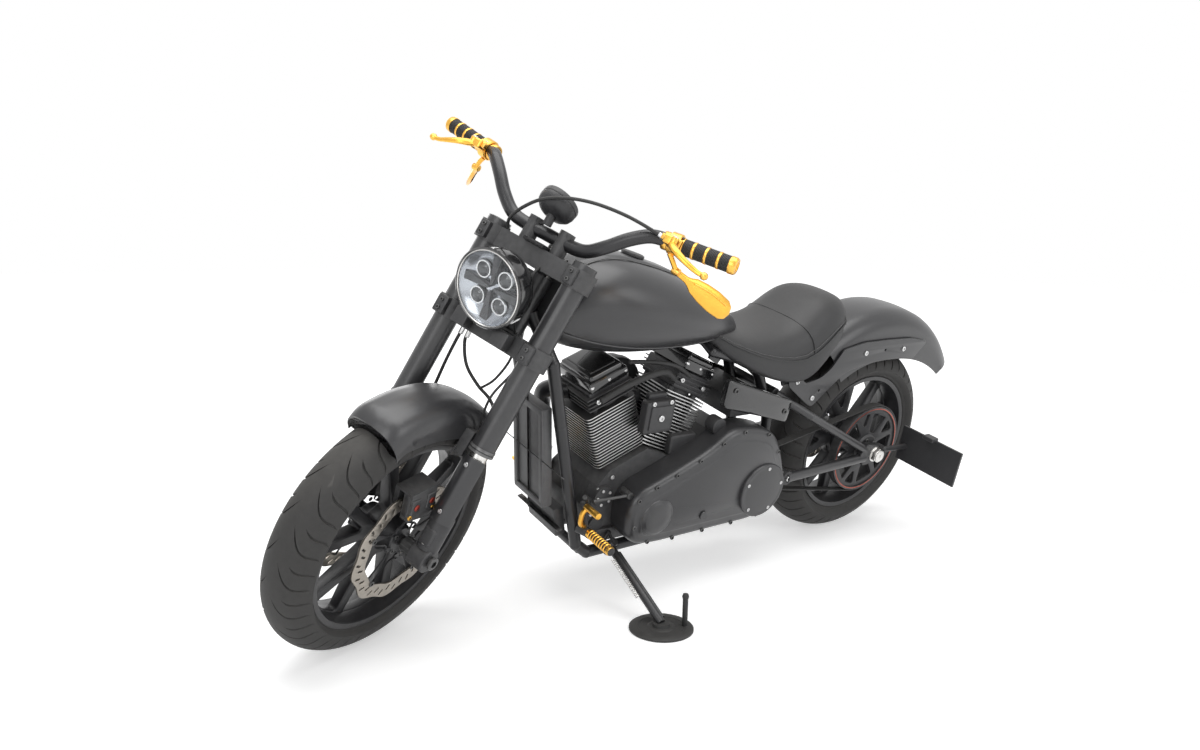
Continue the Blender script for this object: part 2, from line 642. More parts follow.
# %% Fin material
def fin_finish():
    m = finish("cut fins", (0.022, 0.022, 0.023), 0.42, worn=(0.1, 0.1, 0.1), depth=0.3, wear=0.1)
    n, link = m.node_tree.nodes, m.node_tree.links.new
    p, g = n["Principled BSDF"], [q for q in n if q.type == "GROUP"][0]
    mark = n.new("ShaderNodeAttribute")
    mark.attribute_name = "cut"
    scratch = n.new("ShaderNodeTexNoise")
    scratch.inputs["Scale"].default_value = 220
    coord = n.new("ShaderNodeTexCoord")
    link(coord.outputs["Object"], scratch.inputs["Vector"])
    tone = n.new("ShaderNodeMapRange")
    tone.inputs["To Min"].default_value, tone.inputs["To Max"].default_value = 0.42, 0.62
    link(scratch.outputs["Fac"], tone.inputs["Value"])
    mix = n.new("ShaderNodeMix")
    mix.data_type = "RGBA"
    link(mark.outputs["Fac"], mix.inputs["Factor"])
    link(g.outputs["Colour"], mix.inputs[6])
    link(tone.outputs["Result"], mix.inputs[7])
    link(mix.outputs[2], p.inputs["Base Color"])
    link(mark.outputs["Fac"], p.inputs["Metallic"])
    return m


FINS = fin_finish()
print("finishes:", len(bpy.data.materials))

# %% [markdown]
# ## Tyres
# A tyre is a turned shape with grooves pressed into it. The grooves sweep back from the crown in an
# S, long and short in turn. Here the mesh itself follows them: each groove has its own columns of
# points, sheared along its sweep, so that its walls are sharp without millions of faces.

# %% Tyre
def tyre(name, where, body, node, r, width, crown, rim_r, bead, pitches, groove, sweep_by):
    half_angle = math.asin(min(width / 2 / crown, 1.0))
    centre = r - crown
    rows = []
    for s in np.linspace(-1, 1, 49):
        a = s * half_angle
        rows.append((centre + crown * math.cos(a), crown * math.sin(a), s))
    r_end, y_end = rows[-1][0], rows[-1][1]
    wall = []
    for t in np.linspace(0.06, 1, 16):
        rad = r_end + (rim_r + 1 - r_end) * t
        y = y_end + (bead - y_end) * t + 3.0 * math.sin(math.pi * min(t * 1.25, 1)) * (1 - t)
        step = 1.2 if 0.66 < t < 0.76 else 0.0
        wall.append((rad, y + step, 1 + t))
    left = [(q, -y, -s) for q, y, s in reversed(wall)]
    inner = [(rim_r - 1, bead - 4, 3), (rim_r - 1, -bead + 4, -3)]
    rows = left + rows + wall + inner
    columns = []
    for p in range(pitches):
        c = (p + 0.5) / pitches
        for k, (edge, deep) in enumerate(((-1, 0), (-0.55, 1), (0.55, 1), (1, 0))):
            columns.append((c, edge, deep, p % 2))
        for f in (0.3, 0.5, 0.7):
            columns.append((c + f / pitches, 0, 0, p % 2))
    verts = []
    for c, edge, deep, odd in columns:
        for rad, y, s in rows:
            t = abs(s)
            long_one = (odd == 0) == (s > 0)
            lo, hi = (0.10, 0.93) if long_one else (0.34, 0.98)
            u = (t - lo) / (hi - lo)
            open_ = max(0.0, min(1.0, min(u, 1 - u) * 7)) if 0 < u < 1 else 0.0
            flow = sweep_by * (t ** 1.4 - 0.35 * t ** 3) + 0.012 * math.sin(t * 5)
            a = 2 * math.pi * (c - flow * (1 if t <= 1 else max(0, 2 - t) ** 2))
            a += edge * open_ * groove / (2 * r) + (edge * 0.0008 if not open_ else 0)
            d = deep * open_ * 4.5
            verts.append(((rad - d) * math.cos(a), y * (1 - d / r), (rad - d) * math.sin(a)))
    n, m = len(rows), len(columns)
    faces = [(i * n + k, i * n + (k + 1) % n, ((i + 1) % m) * n + (k + 1) % n, ((i + 1) % m) * n + k)
             for i in range(m) for k in range(n)]
    return place(name, mesh_of(verts, faces), where, TYRE, body, node, crease=28)


front_tread = tyre("front_tyre_tread", FRONT_WHEEL, "front_wheel", "front_tyre", FRONT_R, 130, 65, 241, 44,
                   44, 6.5, 0.085)
rear_tread = tyre("rear_tyre_tread", REAR_WHEEL, "rear_wheel", "rear_tyre", REAR_R, 180, 95, 229, 66,
                  40, 7.5, 0.09)
print("tyre faces:", len(front_tread.data.polygons), len(rear_tread.data.polygons))

# %% [markdown]
# ## Wheels
# Each wheel is cast: a barrel with a lip on each side, a hub, and five forked spokes. The barrel and
# the hub are turned. The spokes are one plate with rounded windows cut through it, which is how the
# openings of a cast wheel read from the side.

# %% Wheel
def window(k, side_angle, inner_r, outer_r, spread):
    """The rounded opening between two forked spokes."""
    a0, a1 = 72 * k + side_angle, 72 * (k + 1) - side_angle
    b0, b1 = 72 * k + spread, 72 * (k + 1) - spread
    pts = [(inner_r, b0)] + [(outer_r, a) for a in np.linspace(a0, a1, 9)] + [(inner_r, b1)]
    pts += [(inner_r - 3, (b0 + b1) / 2)]
    return rounded([(q * math.cos(math.radians(a)), q * math.sin(math.radians(a))) for q, a in pts], 17, 6)


def fork_gap(k, side_angle, inner_r, outer_r):
    pts = [(inner_r, 72 * k - 2.5), (outer_r, 72 * k - side_angle), (outer_r, 72 * k),
           (outer_r, 72 * k + side_angle), (inner_r, 72 * k + 2.5)]
    return rounded([(q * math.cos(math.radians(a)), q * math.sin(math.radians(a))) for q, a in pts], 13, 6)


def wheel(name, where, body, node, rim_r, bead, hub_r, hub_half):
    half = bead + 7
    barrel = lathe([(rim_r - 9, -half + 2), (rim_r - 4, -half), (rim_r + 4, -half), (rim_r + 5, -half + 2),
                    (rim_r + 3, -half + 7), (rim_r - 3, -half + 9), (rim_r - 3, half - 9),
                    (rim_r + 3, half - 7),
                    (rim_r + 5, half - 2), (rim_r + 4, half), (rim_r - 4, half), (rim_r - 9, half - 2),
                    (rim_r - 10, half - 10), (rim_r - 16, half - 22), (rim_r - 16, -half + 22),
                    (rim_r - 10, -half + 10)], 144)
    outer = rim_r - 13
    loops = [ring(outer + 4, 160), ring(13.5, 48)]
    loops += [window(k, 20.5, hub_r + 14, outer - 4, 16) for k in range(5)]
    loops += [fork_gap(k, 12.5, hub_r + 56, outer - 4) for k in range(5)]
    spokes = cutout(loops, 34, 5)
    for v in spokes.verts:
        q = math.hypot(v.co.x, v.co.z)
        v.co.y *= 1.25 - 0.45 * min(max((q - hub_r) / (outer - hub_r), 0), 1)
    hub = lathe([(13, -hub_half), (30, -hub_half), (34, -hub_half + 3), (38, -hub_half + 18), (hub_r, -20),
                 (hub_r, 20), (38, hub_half - 18), (34, hub_half - 3), (30, hub_half), (13, hub_half)], 64)
    return place(name, joined(barrel, spokes, hub), where, RIM, body, node)


wheel("front_wheel_casting", FRONT_WHEEL, "front_wheel", "front_rim", 241, 44, 50, 58)
wheel("rear_wheel_casting", REAR_WHEEL, "rear_wheel", "rear_rim", 229, 66, 58, 78)

# %% [markdown]
# ## Brake discs
# A disc is a steel ring with a wavy rim and rows of slots, held to a black carrier by round bobbins.
# Plate with holes is a filled 2D curve, cut and then given its thickness.

# %% Discs
def slot_hole(radius, angle, length, width, lean=0):
    c = Vector((radius * math.cos(math.radians(angle)), radius * math.sin(math.radians(angle))))
    d = Vector((math.cos(math.radians(angle + lean)), math.sin(math.radians(angle + lean))))
    n = Vector((-d.y, d.x))
    pts = []
    for k in range(12):
        a = 2 * math.pi * k / 12
        pts.append(tuple(c + d * (math.copysign(length / 2 - width / 2,
                                                math.cos(a)) + width / 2 * math.cos(a))
                         + n * width / 2 * math.sin(a)))
    return pts


def disc(name, where, body, outer, inner, thick, y, waves, waved, slots):
    loops = [ring(outer - waved, 288, wave=waved, waves=waves), ring(inner + 2, 180, wave=2, waves=waves)]
    for k in range(slots):
        a = 360 * k / slots
        loops.append(slot_hole((outer + inner) / 2 + (4 if k % 2 else -4), a, 16, 6, 30))
    return moved(cutout(loops, thick, 0.5), shift(0, y, 0))


def carrier(arms, outer, hub, bore, thick, y):
    pts = []
    for k in range(arms):
        a = 360 * k / arms
        for da, q in ((-26, hub), (-12, hub + 8), (-7, outer - 10), (-8, outer), (8, outer), (7, outer - 10),
                      (12, hub + 8), (26, hub)):
            pts.append((q * math.cos(math.radians(a + da)), q * math.sin(math.radians(a + da))))
    loops = [rounded(pts, 6, 4), ring(bore, 64)]
    loops += [ring(7, 20, ((hub - 4) * math.cos(math.radians(360 * (k + 0.5) / arms)),
                           (hub - 4) * math.sin(math.radians(360 * (k + 0.5) / arms)))) for k in range(arms)]
    return moved(cutout(loops, thick, 1), shift(0, y, 0))


place("front_brake_discs", both(disc("d", FRONT_WHEEL, "front_wheel", 154.5, 112, 5, 66, 10, 4, 40)),
      FRONT_WHEEL,
      DISC, "front_wheel", "front_discs", outward=True)
place("front_disc_carriers", both(carrier(5, 120, 48, 13.5, 5, 60.8)), FRONT_WHEEL, CAST, "front_wheel")
bobbins = [((116 * math.cos(a), s * 68.4, 116 * math.sin(a)), (0, s, 0), 1.0, 0)
           for a in np.linspace(0, 2 * math.pi, 5, False) for s in (1, -1)]
bobbins += [((34 * math.cos(a), s * 63.5, 34 * math.sin(a)), (0, s, 0), 0.8, 0)
            for a in np.linspace(0.3, 2 * math.pi + 0.3, 5, False) for s in (1, -1)]
repeat("front_disc_bolts", bobbins, screw_head(7, 3), FRONT_WHEEL, DARK_SCREW, "front_wheel")
place("rear_brake_disc", disc("d", REAR_WHEEL, "rear_wheel", 145.5, 104, 5, -104, 10, 4, 36), REAR_WHEEL,
      DISC,
      "rear_wheel", "rear_disc")
place("rear_disc_carrier", joined(carrier(5, 112, 48, 13.5, 5, -99),
                                  lathe([(13.5, -97), (44, -97), (44, -79), (13.5, -79)], 48)), REAR_WHEEL,
      CAST,
      "rear_wheel")

# %% [markdown]
# ## Belt drive
# The rear pulley is a dished casting with forked openings and a thin red line on its rim. The belt
# is a flat band round both pulleys with square teeth inside; the teeth are one block repeated.

# %% Pulley and belt
BELT_Y = 107
pulley_loops = [ring(143, 160), ring(13.5, 40)]
pulley_loops += [fork_gap(k, 11, 84, 126) for k in range(5)]
pulley_loops += [[(q[0], q[1]) for q in rounded([(58 * math.cos(math.radians(36 + 72 * k + d)) * f,
                                                 58 * math.sin(math.radians(36 + 72 * k + d)) * f)
                  for d, f in ((-16, 1.0), (-17, 2.15), (17, 2.15), (16, 1.0))], 9, 5)] for k in range(5)]
pulley = joined(moved(cutout(pulley_loops, 12, 2), shift(0, BELT_Y + 4, 0)),
                lathe([(138, BELT_Y - 14), (146.8, BELT_Y - 14), (146.8, BELT_Y + 14), (138, BELT_Y + 14)],
                      160),
                lathe([(13.5, 79), (46, 79), (50, 84), (50, BELT_Y + 10), (44, BELT_Y + 16),
                       (13.5, BELT_Y + 16)], 64))
place("rear_pulley_casting", pulley, REAR_WHEEL, CAST, "rear_wheel", "rear_pulley")
place("rear_pulley_red_line", lathe([(139, BELT_Y + 14.1), (142, BELT_Y + 14.1), (142, BELT_Y + 14.8),
                                     (139, BELT_Y + 14.8)], 160), REAR_WHEEL, RED, "rear_wheel")
repeat("rear_pulley_bolts", [((34 * math.cos(a), BELT_Y + 16, 34 * math.sin(a)), (0, 1, 0), 1.0, 0)
                             for a in np.linspace(0, 2 * math.pi, 5, False)], screw_head(7, 5), REAR_WHEEL,
       DARK_SCREW, "rear_wheel")


def belt_line(extra, count=200):
    """Points round both pulleys, the big one at the rear axle."""
    dx, dz = 529, 322 - 326
    r1, r2 = 147.3 + extra, 48 + extra
    tilt = math.asin((r1 - r2) / math.hypot(dx, dz))
    base = math.atan2(dz, dx)
    up, low = base + math.pi / 2 - tilt, base - math.pi / 2 + tilt
    pts = [(r1 * math.cos(a), r1 * math.sin(a)) for a in np.linspace(up, low + 2 * math.pi, 60)]
    pts += [(dx + r2 * math.cos(a), dz + r2 * math.sin(a)) for a in np.linspace(low, up, 24)]
    total = np.cumsum([0] + [math.dist(pts[i], pts[(i + 1) % len(pts)]) for i in range(len(pts))])
    at = np.linspace(0, total[-1], count, False)
    px = np.interp(at, total, [p[0] for p in pts] + [pts[0][0]])
    pz = np.interp(at, total, [p[1] for p in pts] + [pts[0][1]])
    return list(zip(px, pz))


outer, inner = belt_line(5.0), belt_line(2.2)
belt_rings = [[(o[0], BELT_Y - 12, o[1]), (o[0], BELT_Y + 12, o[1]), (i[0], BELT_Y + 12, i[1]),
               (i[0], BELT_Y - 12, i[1])] for o, i in zip(outer, inner)]
belt = loft(belt_rings + [belt_rings[0]], cap=False)
bmesh.ops.remove_doubles(belt, verts=belt.verts, dist=0.01)
place("drive_belt_band", belt, PARKED @ shift(0, 0, REAR_R), RUBBER, "chassis", "drive_belt")
teeth_at = belt_line(1.2, 130)
teeth = []
for k, p in enumerate(teeth_at):
    q = teeth_at[(k + 1) % len(teeth_at)]
    d = Vector((q[0] - p[0], 0, q[1] - p[1])).normalized()
    teeth.append(((p[0], BELT_Y, p[1]), Vector((d.z, 0, -d.x)), 1.0, 0))
tooth = bmesh.new()
bmesh.ops.create_cube(tooth, size=1, matrix=Matrix.Diagonal((5.5, 24, 2.4, 1)))
# a block's own X runs along the belt once its Z faces the pulley
repeat("drive_belt_teeth", teeth, tooth, PARKED @ shift(0, 0, REAR_R), RUBBER, "chassis")
place("front_pulley", moved(lathe([(10, 93), (47, 93), (47, 119), (10, 119)], 64), shift(529, 0, 322)),
      PARKED,
      CAST, "chassis")
print("belt teeth:", len(teeth))

# %% [markdown]
# ## Fenders
# Both fenders are rolled sheet: one section swept round the axle. The rear one has a flared tail and
# a raised arch; the front one is short with a rounded lip. The skin is made as a surface of rings,
# then given its thickness by a Solidify modifier's job done in mesh code: an outer and an inner wall.

# %% Fender
def fender(radius, half, corner, angles, lip, thick, tail=None, steps=72, drop=150):
    """Rings of points round the axle; each ring is the section of the sheet, outside then inside."""
    rings = []
    for i, a in enumerate(np.linspace(*angles, steps)):
        u = i / (steps - 1)
        grow, low = tail(u) if tail else (0.0, 0.0)
        side = []
        for y, q in section(radius + grow, half, corner, lip(u) + low):
            side.append((q, y))
        inside = [(q - thick if abs(y) < half - 6 else q, y - math.copysign(thick, y) if abs(y) > 6 else y)
                  for q, y in side]
        inside = [(max(q, side[0][0]), y) for q, y in inside]
        loop = side + inside[::-1]
        c, s = math.cos(math.radians(a)), math.sin(math.radians(a))
        rings.append([(q * c, y, q * s) for q, y in loop])
    return loft(rings)


def section(r, half, corner, depth):
    """From one edge over the crown to the other: (y, radius)."""
    pts = [(-half, r - depth), (-half + 0.5, r - depth * 0.7), (-half, r - corner)]
    for a in np.linspace(180, 90, 9)[1:]:
        pts.append((-half + corner + corner * math.cos(math.radians(a)),
                    r - corner + corner * math.sin(math.radians(a))))
    crown = [(y, r + 2.5 * (1 - (y / (half - corner)) ** 2)) for y in np.linspace(-half + corner, 0, 5)[1:-1]]
    pts += crown + [(0, r + 2.5)]
    return pts + [(-y, q) for y, q in reversed(pts[:-1])]


def rear_tail(u):
    return (0.4 * max(0.0, (u - 0.72) / 0.28) ** 2, 0)


def rear_lip(u):
    return 150 - 66 * max(0.0, (u - 0.45) / 0.55) ** 1.5 + 8 * math.sin(u * math.pi)


place("rear_fender_skin", fender(462, 105, 60, (52, 143), rear_lip, 3, rear_tail), REAR_WHEEL, SATIN,
      "chassis",
      "rear_fender", crease=50)


def front_roll(u):
    """The sheet turns down a little at both ends."""
    return (-15 * max(0.0, (0.1 - min(u, 1 - u)) / 0.1) ** 2, 0)


place("front_fender_skin", fender(359, 75, 50, (44, 116), lambda u: 84 - 22 * (2 * u - 1) ** 2, 3,
                                  front_roll),
      FRONT_WHEEL, SATIN, "steering", "front_fender", crease=50)
place("front_fender_brackets", both(joined(
    slab([(-24, 246), (22, 246), (18, 306), (-18, 306)], 75, 100, 3),
    slab([(-30, 236), (30, 236), (24, 262), (-24, 262)], 74.5, 79, 2))), FRONT_WHEEL, CAST, "steering")

# %% [markdown]
# ## Fender struts
# A dark plate runs along each side of the rear fender and carries it. It is cut from sheet, with
# rounded corners and bright screws.

# %% Struts
strut = [(440, 590), (430, 622), (400, 630), (367, 588), (300, 600), (263, 625), (223, 683), (132, 700),
         (16, 702),
         (-98, 700), (-130, 694), (-185, 684), (-129, 625), (-53, 637), (105, 628), (194, 607), (255, 557),
         (314, 507), (340, 520)]
loops = [rounded(strut, 16, 5)] + [ring(4.2, 20, h) for h in ((296, 560), (24, 668))]
plate = moved(cutout(loops, 7, 1.5), shift(0, 109.8, 0))
place("fender_strut_plates", both(plate), PARKED, SATIN, "chassis", "fender_struts")
strut_screws = [((x, s * 113.2, z), (0, s, 0), 1.0, 0) for x,
                z in ((403, 598), (321, 538), (-66, 666), (118, 665))
                for s in (1, -1)]
repeat("fender_strut_screws", strut_screws, screw_head(8, 4), PARKED, SCREW, "chassis")
print("struts and their screws:", len(strut_screws))

# %% [markdown]
# ## Fuel tank
# The tank is a teardrop: full and round at the front, drawn down to a point in front of the seat.
# It is lofted through cross-sections along its length. Each one has a soft shoulder, its widest
# line low down, and an underside that tucks in. A raised panel with a seam runs along the top.

# %% Tank
TANK = [  # x, top, bottom, half width, how high the widest line sits (0 bottom, 1 top)
    (600, 752, 742, 10, 0.5), (618, 768, 741, 36, 0.42), (655, 800, 738, 68, 0.40), (700, 832, 734, 96, 0.38),
    (760, 866, 729, 120, 0.37), (830, 897, 723, 137, 0.38), (905, 925, 718, 147, 0.40),
        (985, 948, 715, 150, 0.42),
    (1060, 964, 718, 149, 0.45), (1125, 967, 725, 143, 0.47), (1185, 948, 736, 131, 0.50),
    (1230, 912, 750, 113, 0.52), (1262, 868, 768, 88, 0.5), (1280, 838, 788, 56, 0.5),
        (1285, 822, 806, 24, 0.5)]


def tank_at(x):
    xs = [t[0] for t in TANK]
    return [float(np.interp(x, xs, [t[k] for t in TANK])) for k in range(1, 5)]


def tank_point(x, a, lift=0.0):
    """a runs from 0 at the left widest line, 90 at the crown, round to 360."""
    top, low, w, k = tank_at(x)
    mid = low + (top - low) * k
    c, s = math.cos(math.radians(a)), math.sin(math.radians(a))
    if s >= 0:
        y = w * math.copysign(abs(c) ** 0.86, c)
        z = mid + (top - mid) * abs(s) ** 0.92
    else:
        y = w * math.copysign(abs(c) ** 0.62, c) * (1 - 0.16 * abs(s))
        z = mid - (mid - low) * abs(s) ** 0.8
    return (x, y + lift * c, z + lift * s)


tank_rings = [[tank_point(x, a) for a in np.linspace(0, 360, 48, False)]
              for x in [t[0] for t in TANK]]
place("fuel_tank_shell", loft(tank_rings), PARKED, SATIN, "chassis", "fuel_tank", subdivide=2)

panel_rings = []
for x in np.linspace(668, 1215, 34):
    half = 15 * min(1, (x - 660) / 60, (1222 - x) / 40) + 1
    arc = np.linspace(90 - half, 90 + half, 11)
    panel_rings.append([tank_point(x, a, -3 if i in (0, 10) else 2.2) for i, a in enumerate(arc)]
                       + [tank_point(x, a, -6) for a in arc[::-1]])
place("tank_top_panel", loft(panel_rings), PARKED, SATIN, "chassis", "tank_console", crease=60)
seam = [tank_point(x, 90 + 17.5 * min(1, (x - 655) / 60, (1226 - x) / 40), 0.2) for x in np.linspace(664,
                                                                                                     1218,
                                                                                                     40)]
place("tank_panel_seams", both(tube(seam, 1.3, 8, 1)), PARKED, DARK_SCREW, "chassis")
edge = [tank_point(x, a, 0.4) for x, a in ((640, 335), (720, 330), (820, 325), (930, 322), (1040, 322),
                                           (1150, 325),
                                          (1235, 335), (1272, 350))]
place("tank_bottom_flange", both(tube(edge, 2.6, 10, 6)), PARKED, SATIN, "chassis")
cap_at = Vector(tank_point(1000, 90, 2))
cap = moved(lathe([(0, 0), (30, 0), (31, 3), (30, 7), (26, 9), (12, 9.5), (0, 9.5)], 64, closed=False),
            turn("X", 90))
place("fuel_filler_cap", moved(cap, Matrix.Translation(cap_at) @ turn("Y", -14)), PARKED, CAST, "chassis")
print("tank rings:", len(tank_rings))

# %% [markdown]
# ## Seat
# A solo seat: a thin front that follows the tank, a low dished middle and a high rounded bolster that
# laps onto the fender. The cushion is a crowned closed form, made of sections and subdivided. No
# cloth simulation is used: the swell is built into the sections.

# %% Seat
SEAT = [  # x, top, edge height, underside, half width
    (196, 800, 772, 755, 34), (214, 822, 762, 735, 78), (250, 842, 742, 712, 116), (300, 849, 712, 678, 136),
    (345, 846, 672, 636, 145), (385, 822, 648, 608, 150), (430, 784, 640, 600, 151),
        (480, 762, 646, 606, 150),
    (540, 752, 662, 622, 148), (600, 750, 682, 644, 146), (650, 756, 702, 666, 142),
        (700, 768, 722, 690, 130),
    (742, 782, 744, 716, 108), (770, 792, 764, 742, 78)]
seat_rings = []
for x, top, edge_z, low, w in SEAT:
    pts = []
    for a in np.linspace(0, 180, 15):
        c, s = math.cos(math.radians(a)), math.sin(math.radians(a))
        pts.append((x, w * math.copysign(abs(c) ** 0.6, c), edge_z + (top - edge_z) * abs(s) ** 0.78))
    pts += [(x, -w * 0.99, (edge_z + low) / 2), (x, -w * 0.9, low), (x, -w * 0.5, low + 3), (x, 0, low + 4),
            (x, w * 0.5, low + 3), (x, w * 0.9, low), (x, w * 0.99, (edge_z + low) / 2)]
    seat_rings.append(pts)
seat = place("seat_cushion", loft(seat_rings), PARKED, LEATHER, "chassis", "seat", subdivide=2)


def seat_top(x, a, lift=0.6):
    xs = [q[0] for q in SEAT]
    top, edge_z, low, w = (float(np.interp(x, xs, [q[k] for q in SEAT])) for k in range(1, 5))
    c, s = math.cos(math.radians(a)), math.sin(math.radians(a))
    return (x, (w + lift) * math.copysign(abs(c) ** 0.6, c), edge_z + (top - edge_z + lift) * abs(s) ** 0.78)


welt = [seat_top(x, 12) for x in np.linspace(215, 765, 40)]
place("seat_side_welts", both(tube(welt, 2.2, 8, 1)), PARKED, LEATHER, "chassis")
cross = [seat_top(392 + 46 * math.sin(math.radians(a)) ** 1.5, a, 0.3) for a in np.linspace(14, 166, 40)]
place("seat_cross_seam", tube(cross, 2.0, 8, 1), PARKED, LEATHER, "chassis")
stitch_spots = []
for line in (cross, [seat_top(x, 17) for x in np.linspace(235, 750, 60)],
             [seat_top(x, 163) for x in np.linspace(235, 750, 60)]):
    fine = spline(line, 3)
    for p, q in zip(fine[::2], fine[1::2]):
        stitch_spots.append((p + Vector((0, 0, 1.0)), (q - p).normalized(), (1, 1, 1), 0))
thread = bmesh.new()
bmesh.ops.create_cone(thread, cap_ends=True, segments=6, radius1=0.7, radius2=0.7, depth=4.6)
repeat("seat_stitches", stitch_spots, thread, PARKED, THREAD, "chassis")
print("stitches:", len(stitch_spots))

# %% [markdown]
# ## Frame, swingarm and plain castings
# Where the construction solid already has the right shape, it stays and only gets its finish.

# %% Finishes for the solids that stay
KEEP = {"main_frame": BLACK, "swingarm": SATIN, "rear_axle": STEEL, "engine_case": CAST,
        "front_axle": DARK_SCREW, "lower_clamp": CAST, "upper_clamp": CAST, "fork_tubes": SATIN,
        "bar_risers": CAST, "rear_caliper": CAST, "foot_controls": CAST,
        "licence_plate": PLASTIC, "front_calipers": CAST}
for name, material in KEEP.items():
    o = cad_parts[name]
    for s in o.material_slots:
        s.material = material
    if not o.material_slots:
        o.data.materials.append(material)

# %% Side covers
cover_line = [(702, 556), (698, 640), (424, 548), (432, 480), (520, 506), (600, 528)]


def swollen(outline, y0, y1, crown, rounding, bevel):
    """A cover whose face is domed: the rim at y1, the middle at y1 + crown."""
    rim = rounded(outline, rounding, 6)
    c = Vector((sum(p[0] for p in rim) / len(rim), sum(p[1] for p in rim) / len(rim)))
    rings = []
    for scale, y in ((1.0, y0), (1.0, y1 - bevel), (0.985, y1 - bevel * 0.3), (0.955, y1),
                     (0.85, y1 + crown * 0.35),
                     (0.6, y1 + crown * 0.8), (0.3, y1 + crown), (0.02, y1 + crown)):
        rings.append([(c.x + (p[0] - c.x) * scale, y, c.y + (p[1] - c.y) * scale) for p in rim])
    return loft(rings)


place("side_cover_panels", both(swollen(cover_line, 113, 134, 4, 14, 5)), PARKED, GLOSS, "chassis",
      "side_covers",
      crease=40)
repeat("side_cover_bolts", [((x, s * 136, z), (0, s, 0), 1.0, 0) for x, z in ((672, 606), (456, 520))
                            for s in (1, -1)], screw_head(8, 4), PARKED, DARK_SCREW, "chassis")
place("battery_box", box((582, 0, 541), (135, 222, 58), 6), PARKED, PLASTIC, "chassis")

# %% [markdown]
# ## Engine
# Two air-cooled cylinders stand in a vee on the case. A cylinder is a stack of thin fins; one fin is
# made once and set on a line of points. Gloss rocker covers close the heads, and a flat cover with
# one screw sits between them on the left.

# %% Cylinders
CRANK = shift(915, 0, 285)


def fin_plate(half_x, half_y, thick):
    bm = slab(rounded([(-half_x, -half_y), (half_x, -half_y), (half_x, half_y), (-half_x, half_y)], 16, 5),
              -thick / 2, thick / 2, 0)
    bm.transform(turn("X", 90))
    return bm


fin_count, first_fin, pitch = 18, 158, 9.2
for s, name in ((1, "front"), (-1, "rear")):
    bore = PARKED @ CRANK @ turn("Y", s * 22.5)
    spots = [((s * 8 - 0.0, 0, first_fin + k * pitch), (0, 0, 1),
              ((1, 1, 1) if k < 2 else (1.0, 1.0, 1.0)), 0) for k in range(fin_count)]
    fins = repeat(f"{name}_cylinder_fins", spots, fin_plate(79, 73.5, 3.0), bore, FINS, "chassis",
                  "cylinders" if s == 1 else (), crease=30)
    cut = fins.data.attributes.new("cut", "FLOAT", "FACE")
    axis = (bore.to_3x3() @ Vector((0, 0, 1))).normalized()
    fins.data.update()
    for poly, mark in zip(fins.data.polygons, cut.data):
        mark.value = 1.0 if abs(poly.normal.dot(axis)) < 0.4 else 0.0
    barrel = rod((0, 0, 150), (0, 0, 328), 58, 48)
    head = box((0, 0, 326 + 28), (124, 138, 56), 8, 3)
    ribs = [box((s * 4, 0, 336 + k * 11), (140, 150, 3.4), 1) for k in range(4)]
    boss = [rod((u, v, 150), (u, v, 392), 9, 20) for u in (-48, 48) for v in (-52, 52)]
    place(f"{name}_cylinder_head", joined(barrel, head, *ribs, *boss), bore, CAST, "chassis")
    lower = box((0, 0, 382 + 16), (118, 154, 30), 7, 3)
    dome = box((0, 0, 382 + 32), (104, 138, 26), 11, 4)
    lid = box((0, 0, 382 + 44), (78, 112, 9), 4, 3)
    place(f"{name}_rocker_cover", joined(lower, dome, lid), bore, GLOSS, "chassis",
          "rocker_covers" if s == 1 else ())
    bolts = [((u, v, 398), (0, 0, 1), 1.0, 0) for u in (-52, 0, 52) for v in (-72, 72)]
    bolts += [((u, math.copysign(73, v), 354), (0, v, 0), 1.0, 0) for u in (-44, 44) for v in (-1, 1)]
    repeat(f"{name}_rocker_bolts", bolts, screw_head(7, 6), bore, SCREW, "chassis")
    place(f"{name}_pushrod_tubes", joined(*[rod((u, -66 + 0 * u, 110), (u * 0.6, -78, 372), 9, 20)
                                            for u in (-20, 20)]), bore, GLOSS, "chassis")

# %% Cover over the vee, intake and coil
place("vee_cover", joined(box((913, 102, 548), (96, 32, 92), 9, 4), box((913, 119, 548), (70, 5, 66), 2, 2),
                          box((913, 88, 600), (60, 20, 16), 5, 3)), PARKED, CAST, "chassis")
repeat("vee_cover_screw", [((913, 121, 548), (0, 1, 0), 1.0, 0), ((884, 118, 590), (0, 1, 0), 0.7, 0),
                           ((942, 118, 590), (0, 1, 0), 0.7, 0)], screw_head(9, 5), PARKED, SCREW, "chassis")
place("vee_pipes", joined(tube([(860, 84, 640), (905, 96, 668), (960, 100, 664), (1030, 96, 640),
                                (1096, 90, 604)],
                               9, 16, 6),
                          tube([(1000, 60, 690), (930, 78, 690), (860, 84, 676), (800, 80, 640)], 6, 12, 6)),
      PARKED, RUBBER, "chassis")

# %% [markdown]
# ## Primary cover
# The long cover on the left hides the primary chain. It is a casting with rounded sides, a raised
# inner contour, a round clutch cover held by five screws, a round bump over the front sprocket and
# a row of screws along its edge.

# %% Primary cover
PRIMARY = [(999, 232), (1006, 300), (998, 338), (970, 366), (908, 389), (830, 421), (754, 453), (675, 507),
           (591, 500), (508, 474), (462, 404), (430, 330), (428, 262), (462, 222), (539, 200), (900, 196),
           (965, 204)]


